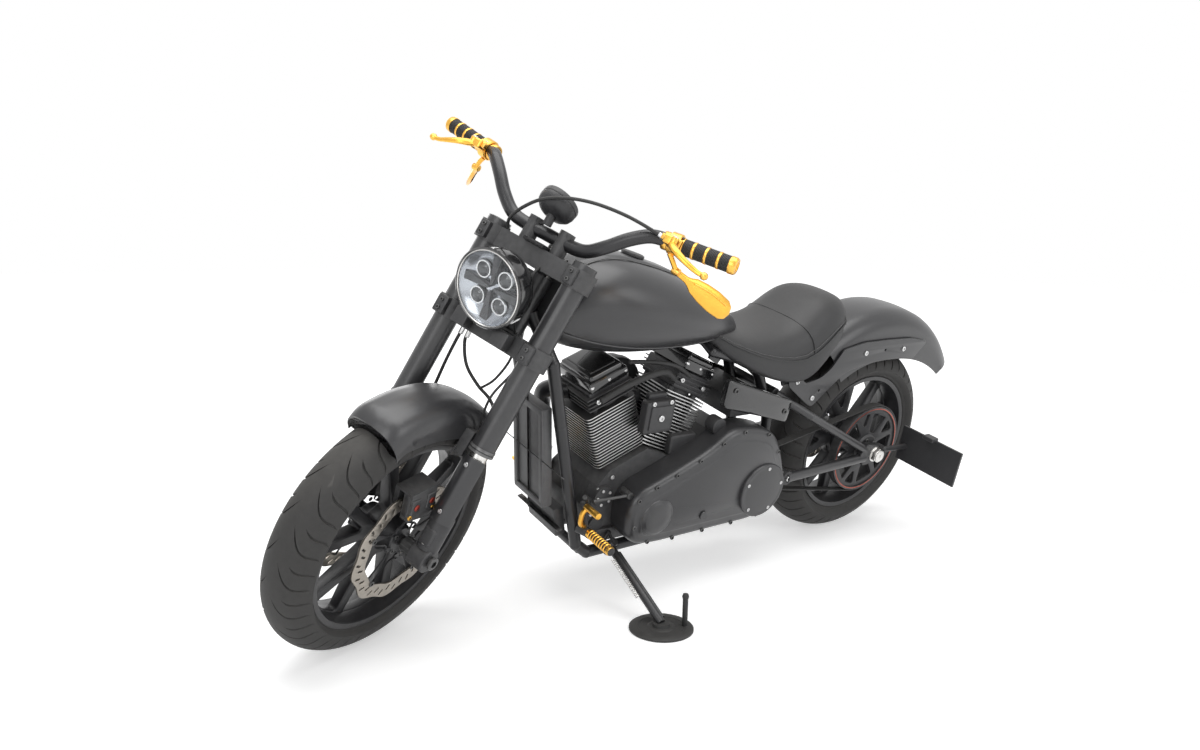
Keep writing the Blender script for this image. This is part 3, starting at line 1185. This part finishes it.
def inset(outline, d):
    """Move a clockwise or anticlockwise outline inwards by d."""
    n, out = len(outline), []
    area = sum(outline[i][0] * outline[(i + 1) % n][1] - outline[(i + 1) % n][0] * outline[i][1]
               for i in range(n))
    turn_sign = 1 if area > 0 else -1
    for i in range(n):
        a, b, c = (Vector(outline[(i + k) % n]) for k in (-1, 0, 1))
        e1, e2 = (b - a).normalized(), (c - b).normalized()
        n1, n2 = Vector((-e1.y, e1.x)) * turn_sign, Vector((-e2.y, e2.x)) * turn_sign
        m = (n1 + n2)
        m = m / max(m.length, 0.4)
        out.append(tuple(b + m * d / max(m.dot(n1), 0.5)))
    return out


rim = rounded(PRIMARY, 34, 6)
levels = [(0, 94), (0, 150), (1.5, 160), (5, 168), (11, 173), (18, 175), (30, 175.5), (34, 178), (38, 180)]
primary_rings = [[(p[0], y, p[1]) for p in (inset(rim, d) if d else rim)] for d, y in levels]
place("primary_cover_casting", loft(primary_rings), PARKED, SATIN, "chassis", "primary_cover",
      crease=50)
derby = lathe([(0, 178), (84, 178), (84, 184), (82, 187), (77, 188), (74, 187.4), (66, 188.6), (30, 190.5),
               (0, 191)],
              96, closed=False)
bump = lathe([(0, 178), (54, 178), (52, 182), (44, 186), (42, 187.4), (20, 188.4), (0, 188.6)], 72,
             closed=False)
plug = lathe([(0, 178), (13, 178), (13, 183), (11, 184.5), (0, 184.5)], 32, closed=False)
place("clutch_cover", joined(moved(derby, shift(529, 0, 300)), moved(bump, shift(915, 0, 285)),
                             moved(plug, shift(745, 0, 258))), PARKED, SATIN, "chassis")
edge_bolts = [(986, 345), (930, 377), (866, 402), (790, 433), (716, 474), (640, 499), (540, 478), (484, 416),
              (446, 340), (440, 258), (520, 210), (620, 203), (730, 201), (840, 200), (930, 206), (988, 262)]
repeat("primary_cover_bolts", [((x + (-4 if x > 700 else 4) * 0, 172, z), (0, 1, 0), 0.9, 0)
                               for x, z in [tuple(p) for p in inset(edge_bolts, 4)]], screw_head(7, 5),
       PARKED,
       DARK_SCREW, "chassis")
repeat("clutch_cover_screws", [((529 + 70 * math.cos(a), 187.6, 300 + 70 * math.sin(a)), (0, 1, 0), 0.75, 0)
                               for a in np.linspace(0.4, 0.4 + 2 * math.pi, 5, False)], screw_head(7, 3),
       PARKED,
       SCREW, "chassis")

# %% Case bolts and bosses, starter and oil lines
place("case_bosses", joined(rod((1046, 60, 330), (1046, 106, 330), 30, 40, 4),
                            rod((1052, 70, 246), (1052, 100, 246), 24,
                                                                                  40, 4),
                            box((1010, 96, 214), (84, 14, 34), 5),
                            rod((700, 92, 500), (700, 130, 500), 24, 40, 4),
                            box((790, 60, 442), (90, 70, 60), 10, 3)), PARKED, CAST, "chassis")
case_bolts = [((x, 93, z), (0, 1, 0), 0.9, 0) for x, z in ((1062, 220), (1072, 280), (1060, 350), (1020, 380),
                                                           (1030, 196), (680, 196))]
case_bolts += [((1046 + 21 * math.cos(a), 106, 330 + 21 * math.sin(a)), (0, 1, 0), 0.6, 0)
               for a in np.linspace(0, 2 * math.pi, 5, False)]
repeat("case_bolts", case_bolts, screw_head(7, 5), PARKED, SCREW, "chassis")
place("shift_linkage", joined(rod((1006, 150, 352), (1110, 142, 350), 4, 16),
                              rod((1000, 118, 352), (1000, 156, 352), 10, 24),
                              tube([(1116, 128, 322), (1124, 134, 356), (1138, 140, 366)], 6, 16, 6)), PARKED,
      DARK_SCREW, "chassis")
print("engine pieces made")

# %% [markdown]
# ## Air cleaner and exhaust
# These are on the right. The air cleaner is a round turned cover on a backing plate. The exhaust is
# two bent pipes with heat-shield clamps that run into one long muffler.

# %% Right side
air = lathe([(0, -100), (90, -100), (92, -106), (92, -118), (86, -124), (86, -146), (80, -160), (60, -168),
             (24, -170), (0, -170)], 96, closed=False)
place("air_cleaner_cover", joined(moved(air, shift(907, 0, 545)),
                                  rod((865, -30, 545), (949, -30, 545), 20, 40),
                                  rod((907, -20, 545), (907, -102, 545), 26, 40)), PARKED, CAST, "chassis",
      "air_cleaner")
repeat("air_cleaner_ribs", [((907 + 58 * math.cos(a), -165, 545 + 58 * math.sin(a)), (0, -1, 0), 1.0,
                             0) for a in np.linspace(0, 2 * math.pi, 12, False)], screw_head(6, 4), PARKED,
       SCREW, "chassis")
front_pipe = [(1104.6, -30, 586.9), (1144, -90, 566), (1110, -130, 460), (1072, -147, 300), (985, -152, 232),
              (760, -172, 222), (540, -195, 214)]
rear_pipe = [(721, -30, 587), (704, -80, 556), (694, -142, 420), (690, -152, 320), (728, -172, 226)]
muffler = [(556, -194, 214), (520, -195, 217), (480, -196, 220), (40, -203, 255), (-28, -205, 261)]
mu = tube(muffler, 46, 40, 4, radii=[26, 44, 47.5, 47.5, 47.5, 47.5, 46, 44])
tip = moved(lathe([(34, 0), (40, 0), (40, 14), (36, 14), (34, 12)], 48),
            Matrix.Translation((-26, -205, 261)) @ turn("Z", 90))
place("exhaust_system", joined(tube(front_pipe, 23, 28, 10), tube(rear_pipe, 21, 28, 8), mu, tip,
                               rod((392, -148.2, 292), (392, -180, 262), 9, 24)), PARKED, BLACK, "chassis",
      "exhaust")
clamps = [((540, -195, 214), (1, 0, 0), 26), ((820, -167, 224), (1, -0.1, 0), 25),
          ((1090, -138, 375), (-0.25, 0, 1), 25)]


def clamp_ring(p, d, r):
    way = Vector(d).to_track_quat("Y", "Z").to_matrix().to_4x4()
    return moved(lathe([(r - 1, -5), (r + 2, -5), (r + 2, 5), (r - 1, 5)], 40), Matrix.Translation(p) @ way)


place("exhaust_clamps", joined(*[clamp_ring(*c) for c in clamps]), PARKED, SCREW, "chassis")

# %% [markdown]
# ## Oil cooler and regulator
# Between the front frame tubes hangs a flat grey cooler: a frame round a core of thin fins. The
# regulator under it is a black box with upright fins.

# %% Cooler and regulator
COOL = PARKED @ shift(1191, 0, 313) @ turn("Y", 8.7)
shroud = joined(box((4, 0, 140), (26, 138, 282), 5),
                box((19, 0, 10), (8, 138, 18), 3), box((19, 0, 272), (8, 138, 18), 3),
                box((19, 62, 140), (8, 16, 264), 3), box((19, -62, 140), (8, 16, 264), 3))
place("oil_cooler_shroud", shroud, COOL, GREY, "chassis", "oil_cooler")
core = [((20, 0, 24 + k * 4.6), (1, 0, 0), (1, 1, 1), 0) for k in range(52)]
slat = bmesh.new()
bmesh.ops.create_cube(slat, size=1, matrix=Matrix.Diagonal((1.3, 110, 5, 1)))
repeat("oil_cooler_core", core, slat, COOL, CAST, "chassis")
bars = [((22, y, 141), (1, 0, 0), 1.0, 0) for y in np.linspace(-48, 48, 13)]
upright = bmesh.new()
bmesh.ops.create_cube(upright, size=1, matrix=Matrix.Diagonal((246, 1.6, 2, 1)))
repeat("oil_cooler_ribs", bars, upright, COOL, GREY, "chassis")
REG = PARKED @ shift(1140, 0, 217) @ turn("Y", 14)
place("regulator_body", box((0, 0, 44), (30, 138, 86), 4), REG, CAST, "chassis", "voltage_regulator")
reg = bmesh.new()
bmesh.ops.create_cube(reg, size=1, matrix=Matrix.Diagonal((78, 3, 14, 1)))
repeat("regulator_fins", [((20, y, 44), (1, 0, 0), 1.0, 0) for y in np.linspace(-62, 62, 16)], reg, REG, CAST,
       "chassis")

# %% [markdown]
# ## Fork
# The big dark outer tubes are on top and the bright inner tubes slide in from below. Each leg
# has a dark foot that holds the axle and caliper, and a guard in front of the bright tube.

# %% Fork details
guard_rings = []
for z in (93, 96, 150, 205, 252, 258):
    wide = 1.35 if 96 <= z <= 252 else 1.25
    guard_rings.append([(62 + 31.5 * math.cos(a), 128 + 31.5 * math.sin(a), z) for a in np.linspace(-wide,
                                                                                                    wide, 15)]
                       + [(62 + 27.5 * math.cos(a), 128 + 27.5 * math.sin(a), z)
                          for a in np.linspace(wide, -wide, 15)])
place("fork_guard_shells", both(loft(guard_rings)), FORK, SATIN, "steering", "fork_guards",
      crease=50)
repeat("fork_guard_bolts", [((93.5, s * 128, z), (1, 0, 0), 0.9, 0) for z in (118, 238) for s in (1, -1)],
       screw_head(6, 4), FORK, SCREW, "steering")
rings_bm = joined(*[moved(lathe([(29, -3), (31, -3), (31, 3), (29, 3)], 48),
                          shift(FORK_OFFSET, FORK_HALF, z) @ turn("X", 90))
                    for z in (274, 283)],
                  moved(lathe([(0, 0), (25, 0), (27, 2), (27, 10), (20, 12), (9, 12), (9, 8), (0, 8)], 48,
                              closed=False),
                        shift(FORK_OFFSET, FORK_HALF, 745) @ turn("X", 90)))
place("fork_tube_collars", both(rings_bm), FORK, DARK_SCREW, "steering")
feet = joined(rod((FORK_OFFSET, FORK_HALF, 20), (FORK_OFFSET, FORK_HALF, 108), 27, 40, 3),
              moved(lathe([(12.6, -23), (27, -24), (30, -21), (30, 21), (27, 24), (12.6, 24)], 48),
                    shift(FORK_OFFSET, FORK_HALF, 0)),
              box((40, 118, 66), (46, 26, 62), 7, 3), box((FORK_OFFSET, FORK_HALF, 52), (60, 34, 44), 10, 3))
place("fork_inner_tubes", both(rod((FORK_OFFSET, FORK_HALF, 80), (FORK_OFFSET, FORK_HALF, 391), 21.5, 48)),
      FORK, STEEL, "steering", "fork_legs")
place("fork_feet", both(feet), FORK, CAST, "steering")
repeat("fork_foot_bolts", [((88, s * 128, z), (1, 0, 0), 0.8, 0) for z in (38, 58) for s in (1, -1)],
       screw_head(7, 4), FORK, SCREW, "steering")
repeat("front_axle_caps", [((62, s * 158, 0), (0, s, 0), 2.3, 0) for s in (1, -1)], screw_head(7, 3), FORK,
       DARK_SCREW, "steering")
blocks = joined(box((108, 58, 518), (32, 40, 40), 5), box((104, 128, 518), (16, 30, 44), 4),
                box((104, 128, 718), (16, 26, 40), 4), box((70, 0, 745), (60, 60, 10), 4))
place("clamp_blocks", both(blocks), FORK, CAST, "steering")
clamp_bolts = [((112.5, s * y, z), (1, 0, 0), 0.8, 0) for y, z in ((128, 508), (128, 528), (128, 708),
                                                                   (128, 728))
               for s in (1, -1)]
clamp_bolts += [((80, s * 86, 741), (0, 0, 1), 1.0, 0) for s in (1, -1)]
repeat("clamp_bolts", clamp_bolts, screw_head(6, 5), FORK, DARK_SCREW, "steering")
place("stem_nut", joined(moved(hex_head(24, 12), shift(4, 0, 741)), rod((4, 0, 741), (4, 0, 762), 13, 32)),
      FORK,
      CAST, "steering")
CALI = FORK @ shift(62, 0, 0) @ turn("Y", -62)
pads = joined(box((135, 84, 0), (64, 24, 84), 10, 4), box((135, 97, 24), (40, 10, 28), 8, 3),
              box((135, 97, -24), (40, 10, 28), 8, 3))
place("caliper_faces", both(pads), CALI, CAST, "steering")
repeat("caliper_pistons", [((135, s * 101, z), (0, s, 0), 1.6, 0) for z in (24, -24) for s in (1, -1)],
       screw_head(5, 2, False), CALI, RED, "steering")
repeat("caliper_bolts", [((110, s * 96, z), (0, s, 0), 1.0, 0) for z in (36, -36) for s in (1, -1)],
       screw_head(6, 4), CALI, GOLD, "steering")

# %% [markdown]
# ## Headlight
# A deep gloss bucket with a gloss rim and a thin bright bezel inside it. Behind the clear lens is a
# reflector split by four dark wedges, with a round projector lens between each two.

# %% Headlight
LAMP = FORK @ shift(171, 0, 602) @ turn("Y", 90 + RAKE)
bucket = lathe([(0, -84), (50, -83), (70, -74), (84, -56), (91, -34), (92, -12), (92, -2), (89, -1), (86, -4),
                (84, -30), (0, -34)], 96, closed=False)
place("headlight_bucket", joined(moved(bucket, turn("X", 90)), box((0, 0, -70), (60, 30, 30), 6)), LAMP,
      GLOSS,
      "steering", "headlight")
place("headlight_rim", moved(lathe([(84, -8), (92, -6), (92.5, -1), (89.5, 1.5), (87, 0)], 96),
                             turn("X", 90)), LAMP,
      GLOSS, "steering")
place("headlight_bezel", moved(lathe([(84, -3), (87, -2), (87, 0.6), (85, 1.4), (84, 0)], 96), turn("X", 90)),
      LAMP,
      STEEL, "steering")
bowl = lathe([(0, -27), (40, -25), (62, -20), (80, -10), (84, -5), (84, -9), (60, -25), (0, -31)], 96,
             closed=False)
place("headlight_reflector", moved(bowl, turn("X", 90)), LAMP, REFLECTOR, "steering")
wedges = []
for k in range(4):
    a = k * math.pi / 2
    w = slab([(8, -3), (82, -12), (82, 12), (8, 3)], 0, 14, 1.5)
    w.transform(turn("X", -90))
    w.transform(shift(0, 0, -12) @ turn("Z", math.degrees(a)))
    wedges.append(w)
place("headlight_wedges", joined(*wedges), LAMP, PLASTIC, "steering")
eyes = [((45 * math.cos(a), 45 * math.sin(a), -22), (0, 0, 1), 1.0, 0) for a in
        (0.785, 2.356, 3.927, 5.498)]
eye = lathe([(0, 0), (17, 0), (18, 3), (17, 6), (14.5, 7), (12, 10), (7, 12.5), (0, 13.5)], 32, closed=False)
eye.transform(turn("X", 90))
bmesh.ops.recalc_face_normals(eye, faces=eye.faces)
repeat("headlight_projectors", eyes, eye, LAMP, DIAL, "steering")
eye_ring = lathe([(17, 3), (20, 3), (20, 8), (17, 8)], 32)
eye_ring.transform(turn("X", 90))
repeat("headlight_projector_rings", eyes, eye_ring, LAMP, STEEL, "steering")
lens = lathe([(0, 6), (40, 4.5), (70, 1.5), (84, -2), (84, -5), (70, -1.5), (40, 1.5), (0, 3)], 96,
             closed=False)
place("headlight_lens", moved(lens, turn("X", 90)), LAMP, GLASS, "steering")

# %% [markdown]
# ## Bars, grips, levers and mirrors
# The bar is one bent tube. Each grip is rubber between turned gold rings, with a gold cap. The
# lever, its perch, the switch housing and the blade-shaped mirror are all gold.

# %% Handlebar
bend = [(56, 0, 776), (56, 60, 776), (60, 108, 783), (66, 150, 812), (66, 190, 850), (58, 226, 878),
        (40, 254, 889),
        (29, 290, 893), (23, 352, 901)]
smooth_bar = [Vector((p[0], -p[1], p[2])) for p in bend[:0:-1]] + [Vector(p) for p in bend]
place("handlebar_tube", tube(smooth_bar, 15.9, 32, 8), FORK, BLACK, "steering", "handlebar")
riser_caps = joined(*[box((56, y, 794), (36, 22, 12), 4, 3) for y in (45, -45)])
place("riser_caps", riser_caps, FORK, CAST, "steering")

# %% Grips
BAR = [(56, 0, 776), (56, 76, 776), (66, 124, 792), (62, 222, 876), (32, 262, 890), (18, 415, 908)]
grip_a, grip_b = Vector(BAR[4]), Vector(BAR[5])
GRIP = (grip_b - grip_a).normalized()
ON_GRIP = Matrix.Translation(grip_b) @ GRIP.to_track_quat("Y", "Z").to_matrix().to_4x4()


def ribbed(y0, y1, r):
    prof = [(14, y0), (r - 1, y0)]
    for y in np.arange(y0 + 1.5, y1 - 2.5, 3.2):
        prof += [(r - 1, y), (r, y + 0.5), (r, y + 2.1), (r - 1, y + 2.6)]
    return prof + [(r - 1, y1), (14, y1)]


rubber_parts = [lathe(ribbed(y0, y1, 18.6), 40) for y0, y1 in ((-118, -96), (-90, -66), (-60, -36),
                                                               (-30, -8))]
place("grip_rubbers", both(moved(joined(*rubber_parts), ON_GRIP)), FORK, RUBBER, "steering", "grips")
gold_rings = [lathe([(15, y), (19, y), (19.6, y + 1), (19.6, y + 5), (19, y + 6), (15, y + 6)], 48)
              for y in (-124, -96, -66, -36)]
gold_rings.append(lathe([(16, -152), (18, -151), (19.5, -146), (19.5, -129), (18, -126), (16, -125)], 48))
gold_rings.append(lathe([(15, -8), (19.6, -8), (20, -6), (19.6, 4), (17, 8), (10, 8.5), (9, 6), (0, 6),
                         (0, 0), (15, 0)],
                        48, closed=False))
place("grip_rings_and_caps", both(moved(joined(*gold_rings), ON_GRIP)), FORK, GOLD, "steering")

# %% Perches, levers and switches
housing = moved(joined(lathe([(16, -152), (23, -152), (25, -150), (25, -128), (23, -126), (16, -126)], 48),
                       lathe([(16, -168), (20, -168), (21, -166), (21, -156), (20, -154), (16, -154)], 48)),
                ON_GRIP)
perch = joined(box((62, 280, 888), (44, 26, 22), 5, 3), box((46, 284, 889), (22, 30, 28), 6, 3),
               rod((78, 292, 876), (78, 292, 898), 9, 24, 1.5), box((70, 266, 890), (16, 16, 14), 3, 2))
lever_line = [(76, 288, 884), (88, 298, 878), (98, 316, 870), (98, 345, 860), (90, 374, 853), (87, 394, 852)]
lever = joined(tube(lever_line, 6, 16, 8, radii=[8, 9.5, 8.5, 7, 6, 5.6], flat=0.72),
               moved(lathe([(0, -9), (5, -8), (8.5, -3), (8.5, 3), (5, 8), (0, 9)], 24, closed=False),
                     Matrix.Translation(lever_line[-1])))
place("levers_and_perches", both(joined(housing, perch, lever)), FORK, GOLD, "steering", "hand_controls",
      crease=40)
lever_screws = [((78, s * 292, 898), (0, 0, 1), 1.0, 0) for s in (1, -1)]
lever_screws += [((50, s * 276, 903), (0, 0, 1), 0.7, 0) for s in (1, -1)]
repeat("lever_pivot_screws", lever_screws, screw_head(7, 3), FORK, SCREW, "steering")
buttons = [((34, s * 278, 912), (0, 0.1, 1), 0.9, 0) for s in (1, -1)] + [((42, s * 292, 908), (0.3, 0, 1),
                                                                           0.7, 0)
                                                                     for s in (1, -1)]
repeat("switch_buttons", buttons, screw_head(6, 4, False), FORK, PLASTIC, "steering")

# %% Mirrors
blade_root, blade_tip = Vector((6, 300, 842)), Vector((-141, 405, 824))
run = (blade_root - blade_tip).normalized()
width_way = (Vector((0, 0, 1)) - run * run.z).normalized()
BLADE = Matrix.Translation((blade_root + blade_tip) / 2) @ Matrix(
    (run, width_way.cross(run), width_way)).transposed().to_4x4()
half_run = (blade_root - blade_tip).length / 2
blade = []
for t, half_w, half_t in ((-1, 5, 3.5), (-0.95, 17, 6), (-0.8, 25, 7.5), (-0.4, 27, 8), (0.0, 24, 7.5),
                          (0.35, 18, 7),
                          (0.5, 11, 6), (0.62, 8, 5.5), (0.9, 7, 5.5), (1, 4, 4)):
    blade.append([(half_run * t, half_t * math.sin(a), half_w * math.cos(a))
                  for a in np.linspace(0, 2 * math.pi, 28, False)])
ridge = [(half_run * t, 7.9, z) for t, z in ((-0.75, 10), (-0.3, 11), (0.1, 8), (0.4, 3))]
stem = tube([(32, 276, 868), (22, 288, 856), (6, 300, 842)], 6, 16, 6)
knuckle = moved(lathe([(0, -10), (8, -9), (9.5, 0), (8, 9), (0, 10)], 24, closed=False), shift(6, 300, 842))
place("mirror_heads", both(joined(moved(loft(blade), BLADE), moved(tube(ridge, 1.6, 8, 6), BLADE), stem,
                                  knuckle)),
      FORK, GOLD, "steering", "mirrors")
glass_rings = []
for t, half_w in ((-0.94, 8), (-0.86, 17), (-0.7, 21), (-0.3, 22), (0.05, 19), (0.3, 13), (0.4, 6)):
    glass_rings.append([(half_run * t, -8.4, -half_w), (half_run * t, -8.4, half_w),
                        (half_run * t, -7.4, half_w),
                        (half_run * t, -7.4, -half_w)])
place("mirror_glass", both(moved(loft(glass_rings), BLADE)), FORK, MIRROR_GLASS, "steering")

# %% Speedometer
GAUGE = FORK @ shift(84, 0, 838) @ turn("Y", -24)
cup = lathe([(0, -22), (24, -21.5), (36, -17), (45, -8), (48, 2), (48, 6), (47, 7), (47, 9), (48, 10),
             (48, 18), (46.5, 21.5), (43, 22), (42, 19),
             (0, 18)], 80, closed=False)
place("speedometer_cup", joined(moved(cup, turn("X", 90)), rod((-20, 0, -42), (-8, 0, -16), 11, 24)), GAUGE,
      PLASTIC,
      "steering", "speedometer")
place("speedometer_glass", moved(lathe([(0, 20.4), (30, 20), (42, 19), (42, 18), (0, 18)], 64, closed=False),
                                 turn("X", 90)), GAUGE, DIAL, "steering")

# %% Hoses and cables
cable = [(62, 266, 886), (78, 232, 890), (100, 170, 890), (122, 100, 880), (137, 40, 860), (138, -10, 834),
         (126, -52, 798), (106, -80, 766), (84, -86, 744)]
hose_left = [(46, -64, 494.5), (42, -64, 466), (30, -36, 420), (18, 10, 392), (14, 60, 376), (8, 90, 340),
             (4, 96, 260), (-2, 94, 180), (-10, 92, 120)]
hose_right = [(44, -84, 494.5), (42, -86, 460), (28, -92, 400), (14, -94, 330), (4, -96, 250), (-2, -94, 180),
              (-10, -92, 120)]
wires = [[(86, 40, 700), (104, 44, 680), (102, 46, 640), (92, 40, 590), (60, 50, 548), (40, 64, 492),
          (48, 60, 430),
          (36, 30, 390)],
         [(40, 96, 496), (70, 100, 452), (82, 92, 400), (60, 84, 350), (30, 86, 300)]]
place("clutch_cable_and_hoses", joined(*[tube(p, 4, 12, 8) for p in (cable, hose_left, hose_right)],
                                       *[tube(p, 3, 10, 8) for p in wires]), FORK, RUBBER, "steering",
      "brake_hoses")
place("hose_fittings", joined(*[rod(p, q, 6, 16) for p, q in (((46, -64, 494), (43, -64, 476)),
                                                             ((44, -84, 494), (42, -85, 476)),
                                                             ((62, 267, 886), (70, 248, 890)),
                                                             ((-6, 93, 150), (-11, 92, 118)),
                                                             ((-6, -93, 150), (-11, -92, 118)))]), FORK,
      SCREW,
      "steering")

# %% [markdown]
# ## Foot controls, axle nuts, plate and stand
# The forward pegs and the shifter peg are gold. The stand is a leg on a hinge eye, with a return
# spring, and a round rubber puck under its foot that has an upright handle.

# %% Pegs
peg_prof = [(0, 0), (11, 0), (13, 2), (13, 8)]
for k in range(8):
    peg_prof += [(13, 12 + k * 10), (10.5, 14 + k * 10), (10.5, 18 + k * 10), (13, 20 + k * 10)]
peg_prof += [(13, 96), (11.5, 100), (0, 101)]
pegs = both(moved(lathe(peg_prof, 32, closed=False), shift(1098, 131, 250)))
place("foot_pegs", pegs, PARKED, GOLD, "chassis")
arm = tube([(1104, 118, 262), (1128, 128, 282), (1136, 140, 318), (1128, 148, 340)], 7, 16, 6)
toe = rod((1128, 140, 338), (1128, 196, 338), 9, 24, 2)
place("shifter", joined(arm, toe), PARKED, GOLD, "chassis")
place("brake_pedal", moved(joined(tube([(1104, 118, 262), (1128, 128, 282), (1136, 140, 318)], 7, 16, 6),
                                  box((1134, 160, 326), (44, 52, 9), 3)), MIRROR), PARKED, GOLD, "chassis")
place("rear_axle_nuts", joined(*[moved(joined(moved(hex_head(24, 20), shift(0, 0, 0)),
                                              moved(lathe([(6, 0), (26, 0), (26, 4), (6, 4)], 40),
                                                    turn("X", 90))),
                                       Matrix.Translation((0, s * 157, 326)) @ turn("X",
                                                                                    -90 * s)) for s in (1,
                                                                                                        -1)]),
      PARKED, STEEL, "chassis")
place("axle_plates", both(joined(slab(rounded([(44, 290), (72, 326), (44, 364), (-34, 352), (-44, 326),
                                               (-40, 300)], 12, 5),
                                      139, 157.5, 3),
                                 rod((392, 146, 300), (392, 154, 300), 22, 32, 2))), PARKED, CAST, "chassis")
plate_shape = rounded([(166, 302), (382, 302), (382, 413), (166, 413)], 10, 5)
number_plate = joined(moved(moved(cutout([plate_shape], 5, 1), turn("Z", 90)), shift(-119, 0, 0)),
                      box((-115, 274, 357), (6, 190, 90), 2))
place("blank_plate", number_plate, PARKED, PLASTIC, "chassis")
repeat("plate_screws", [((-121.5, y, 358), (-1, 0, 0), 0.8, 0) for y in (200, 350)], screw_head(7, 3), PARKED,
       DARK_SCREW,
       "chassis")
place("plate_lamp", box((-98, 274, 420), (30, 40, 14), 4, 3), PARKED, PLASTIC, "chassis")

# %% Stand
puck = lathe([(0, 1.5), (70, 1), (80, 0), (82, 1), (82, 5), (78, 7.5), (60, 8), (58, 6.6), (36, 6.6), (34, 8),
              (24, 9),
              (22, 16), (0, 16)], 96, closed=False)
PUCK_AT = (1009 - BOX_MIDDLE[0], 378 - BOX_MIDDLE[1])
PUCK = Matrix.Scale(0.001, 4) @ shift(*PUCK_AT, 0)
place("stand_puck", joined(moved(puck, turn("X", 90)), rod((-52, 30, 6), (-52, 30, 86), 7, 24, 1.5),
                           moved(lathe([(0, -8), (7, -7), (9, 0), (7, 7), (0, 8)], 24, closed=False),
                                 shift(-52, 30, 84) @ turn("X", 90))), PUCK, RUBBER, "side_stand_leg")
foot = Vector((*PUCK_AT, 16)) / 1000
STAND_PIVOT = (1014, 128, 188)
top = PARKED @ Vector(STAND_PIVOT)
along = (foot - top)
side = along.cross(Vector((1, 0, 0))).normalized()
TURNS = 22
coil = []
for t in np.linspace(0, 1, TURNS * 14):
    a = t * 2 * math.pi * TURNS
    middle = top + along * (0.16 + 0.5 * t) + Vector((0.017, 0, 0))
    coil.append(middle + 0.0055 * (Vector((math.cos(a), 0, 0)) + side * math.sin(a)))
spring = tube([c * 1000 for c in coil], 1.1, 6, 1)
hinge = Vector((-0.06, 0.4, 0.91)).normalized()
pin_way = (PARKED.to_3x3().normalized() @ hinge).to_track_quat("Y", "Z").to_matrix().to_4x4()
eye = moved(lathe([(6.8, -12), (15, -12), (15, 12), (6.8, 12)], 40), Matrix.Translation(top * 1000) @ pin_way)
place("stand_leg", joined(rod(top * 1000 + along.normalized() * 12, foot * 1000, 11, 40, 1), eye),
      Matrix.Scale(0.001, 4), BLACK, "side_stand_leg", "side_stand")
place("stand_spring", spring, Matrix.Scale(0.001, 4), STEEL, "side_stand_leg")
place("stand_stiffener", tube([(top + along * t + Vector((-0.012, 0, 0.0))) * 1000 for t in (0.1, 0.5, 0.95)],
                              6, 16, 4),
      Matrix.Scale(0.001, 4), BLACK, "side_stand_leg")
print("front end, controls and stand made")

# %% [markdown]
# ## Frame details
# Welded gussets and bright bolts where the frame rails meet, and the round lugs of the swingarm.

# %% Gussets and bolts
place("frame_gussets", both(joined(slab([(700, 700), (752, 728), (752, 690), (720, 672)], 84, 92, 2),
                                   slab([(410, 640), (470, 640), (440, 580), (404, 596)], 88, 96, 2),
                                   rod((410, 88, 612), (410, 110, 612), 15, 32, 2))), PARKED, BLACK,
      "chassis")
repeat("frame_bolts", [((x, s * y, z), (0, s, 0), 1.0, 0) for x, y, z in ((410, 110, 612), (736, 92, 702),
                                                                         (392, 154, 300)) for s in (1, -1)],
       screw_head(8, 5), PARKED, SCREW, "chassis")
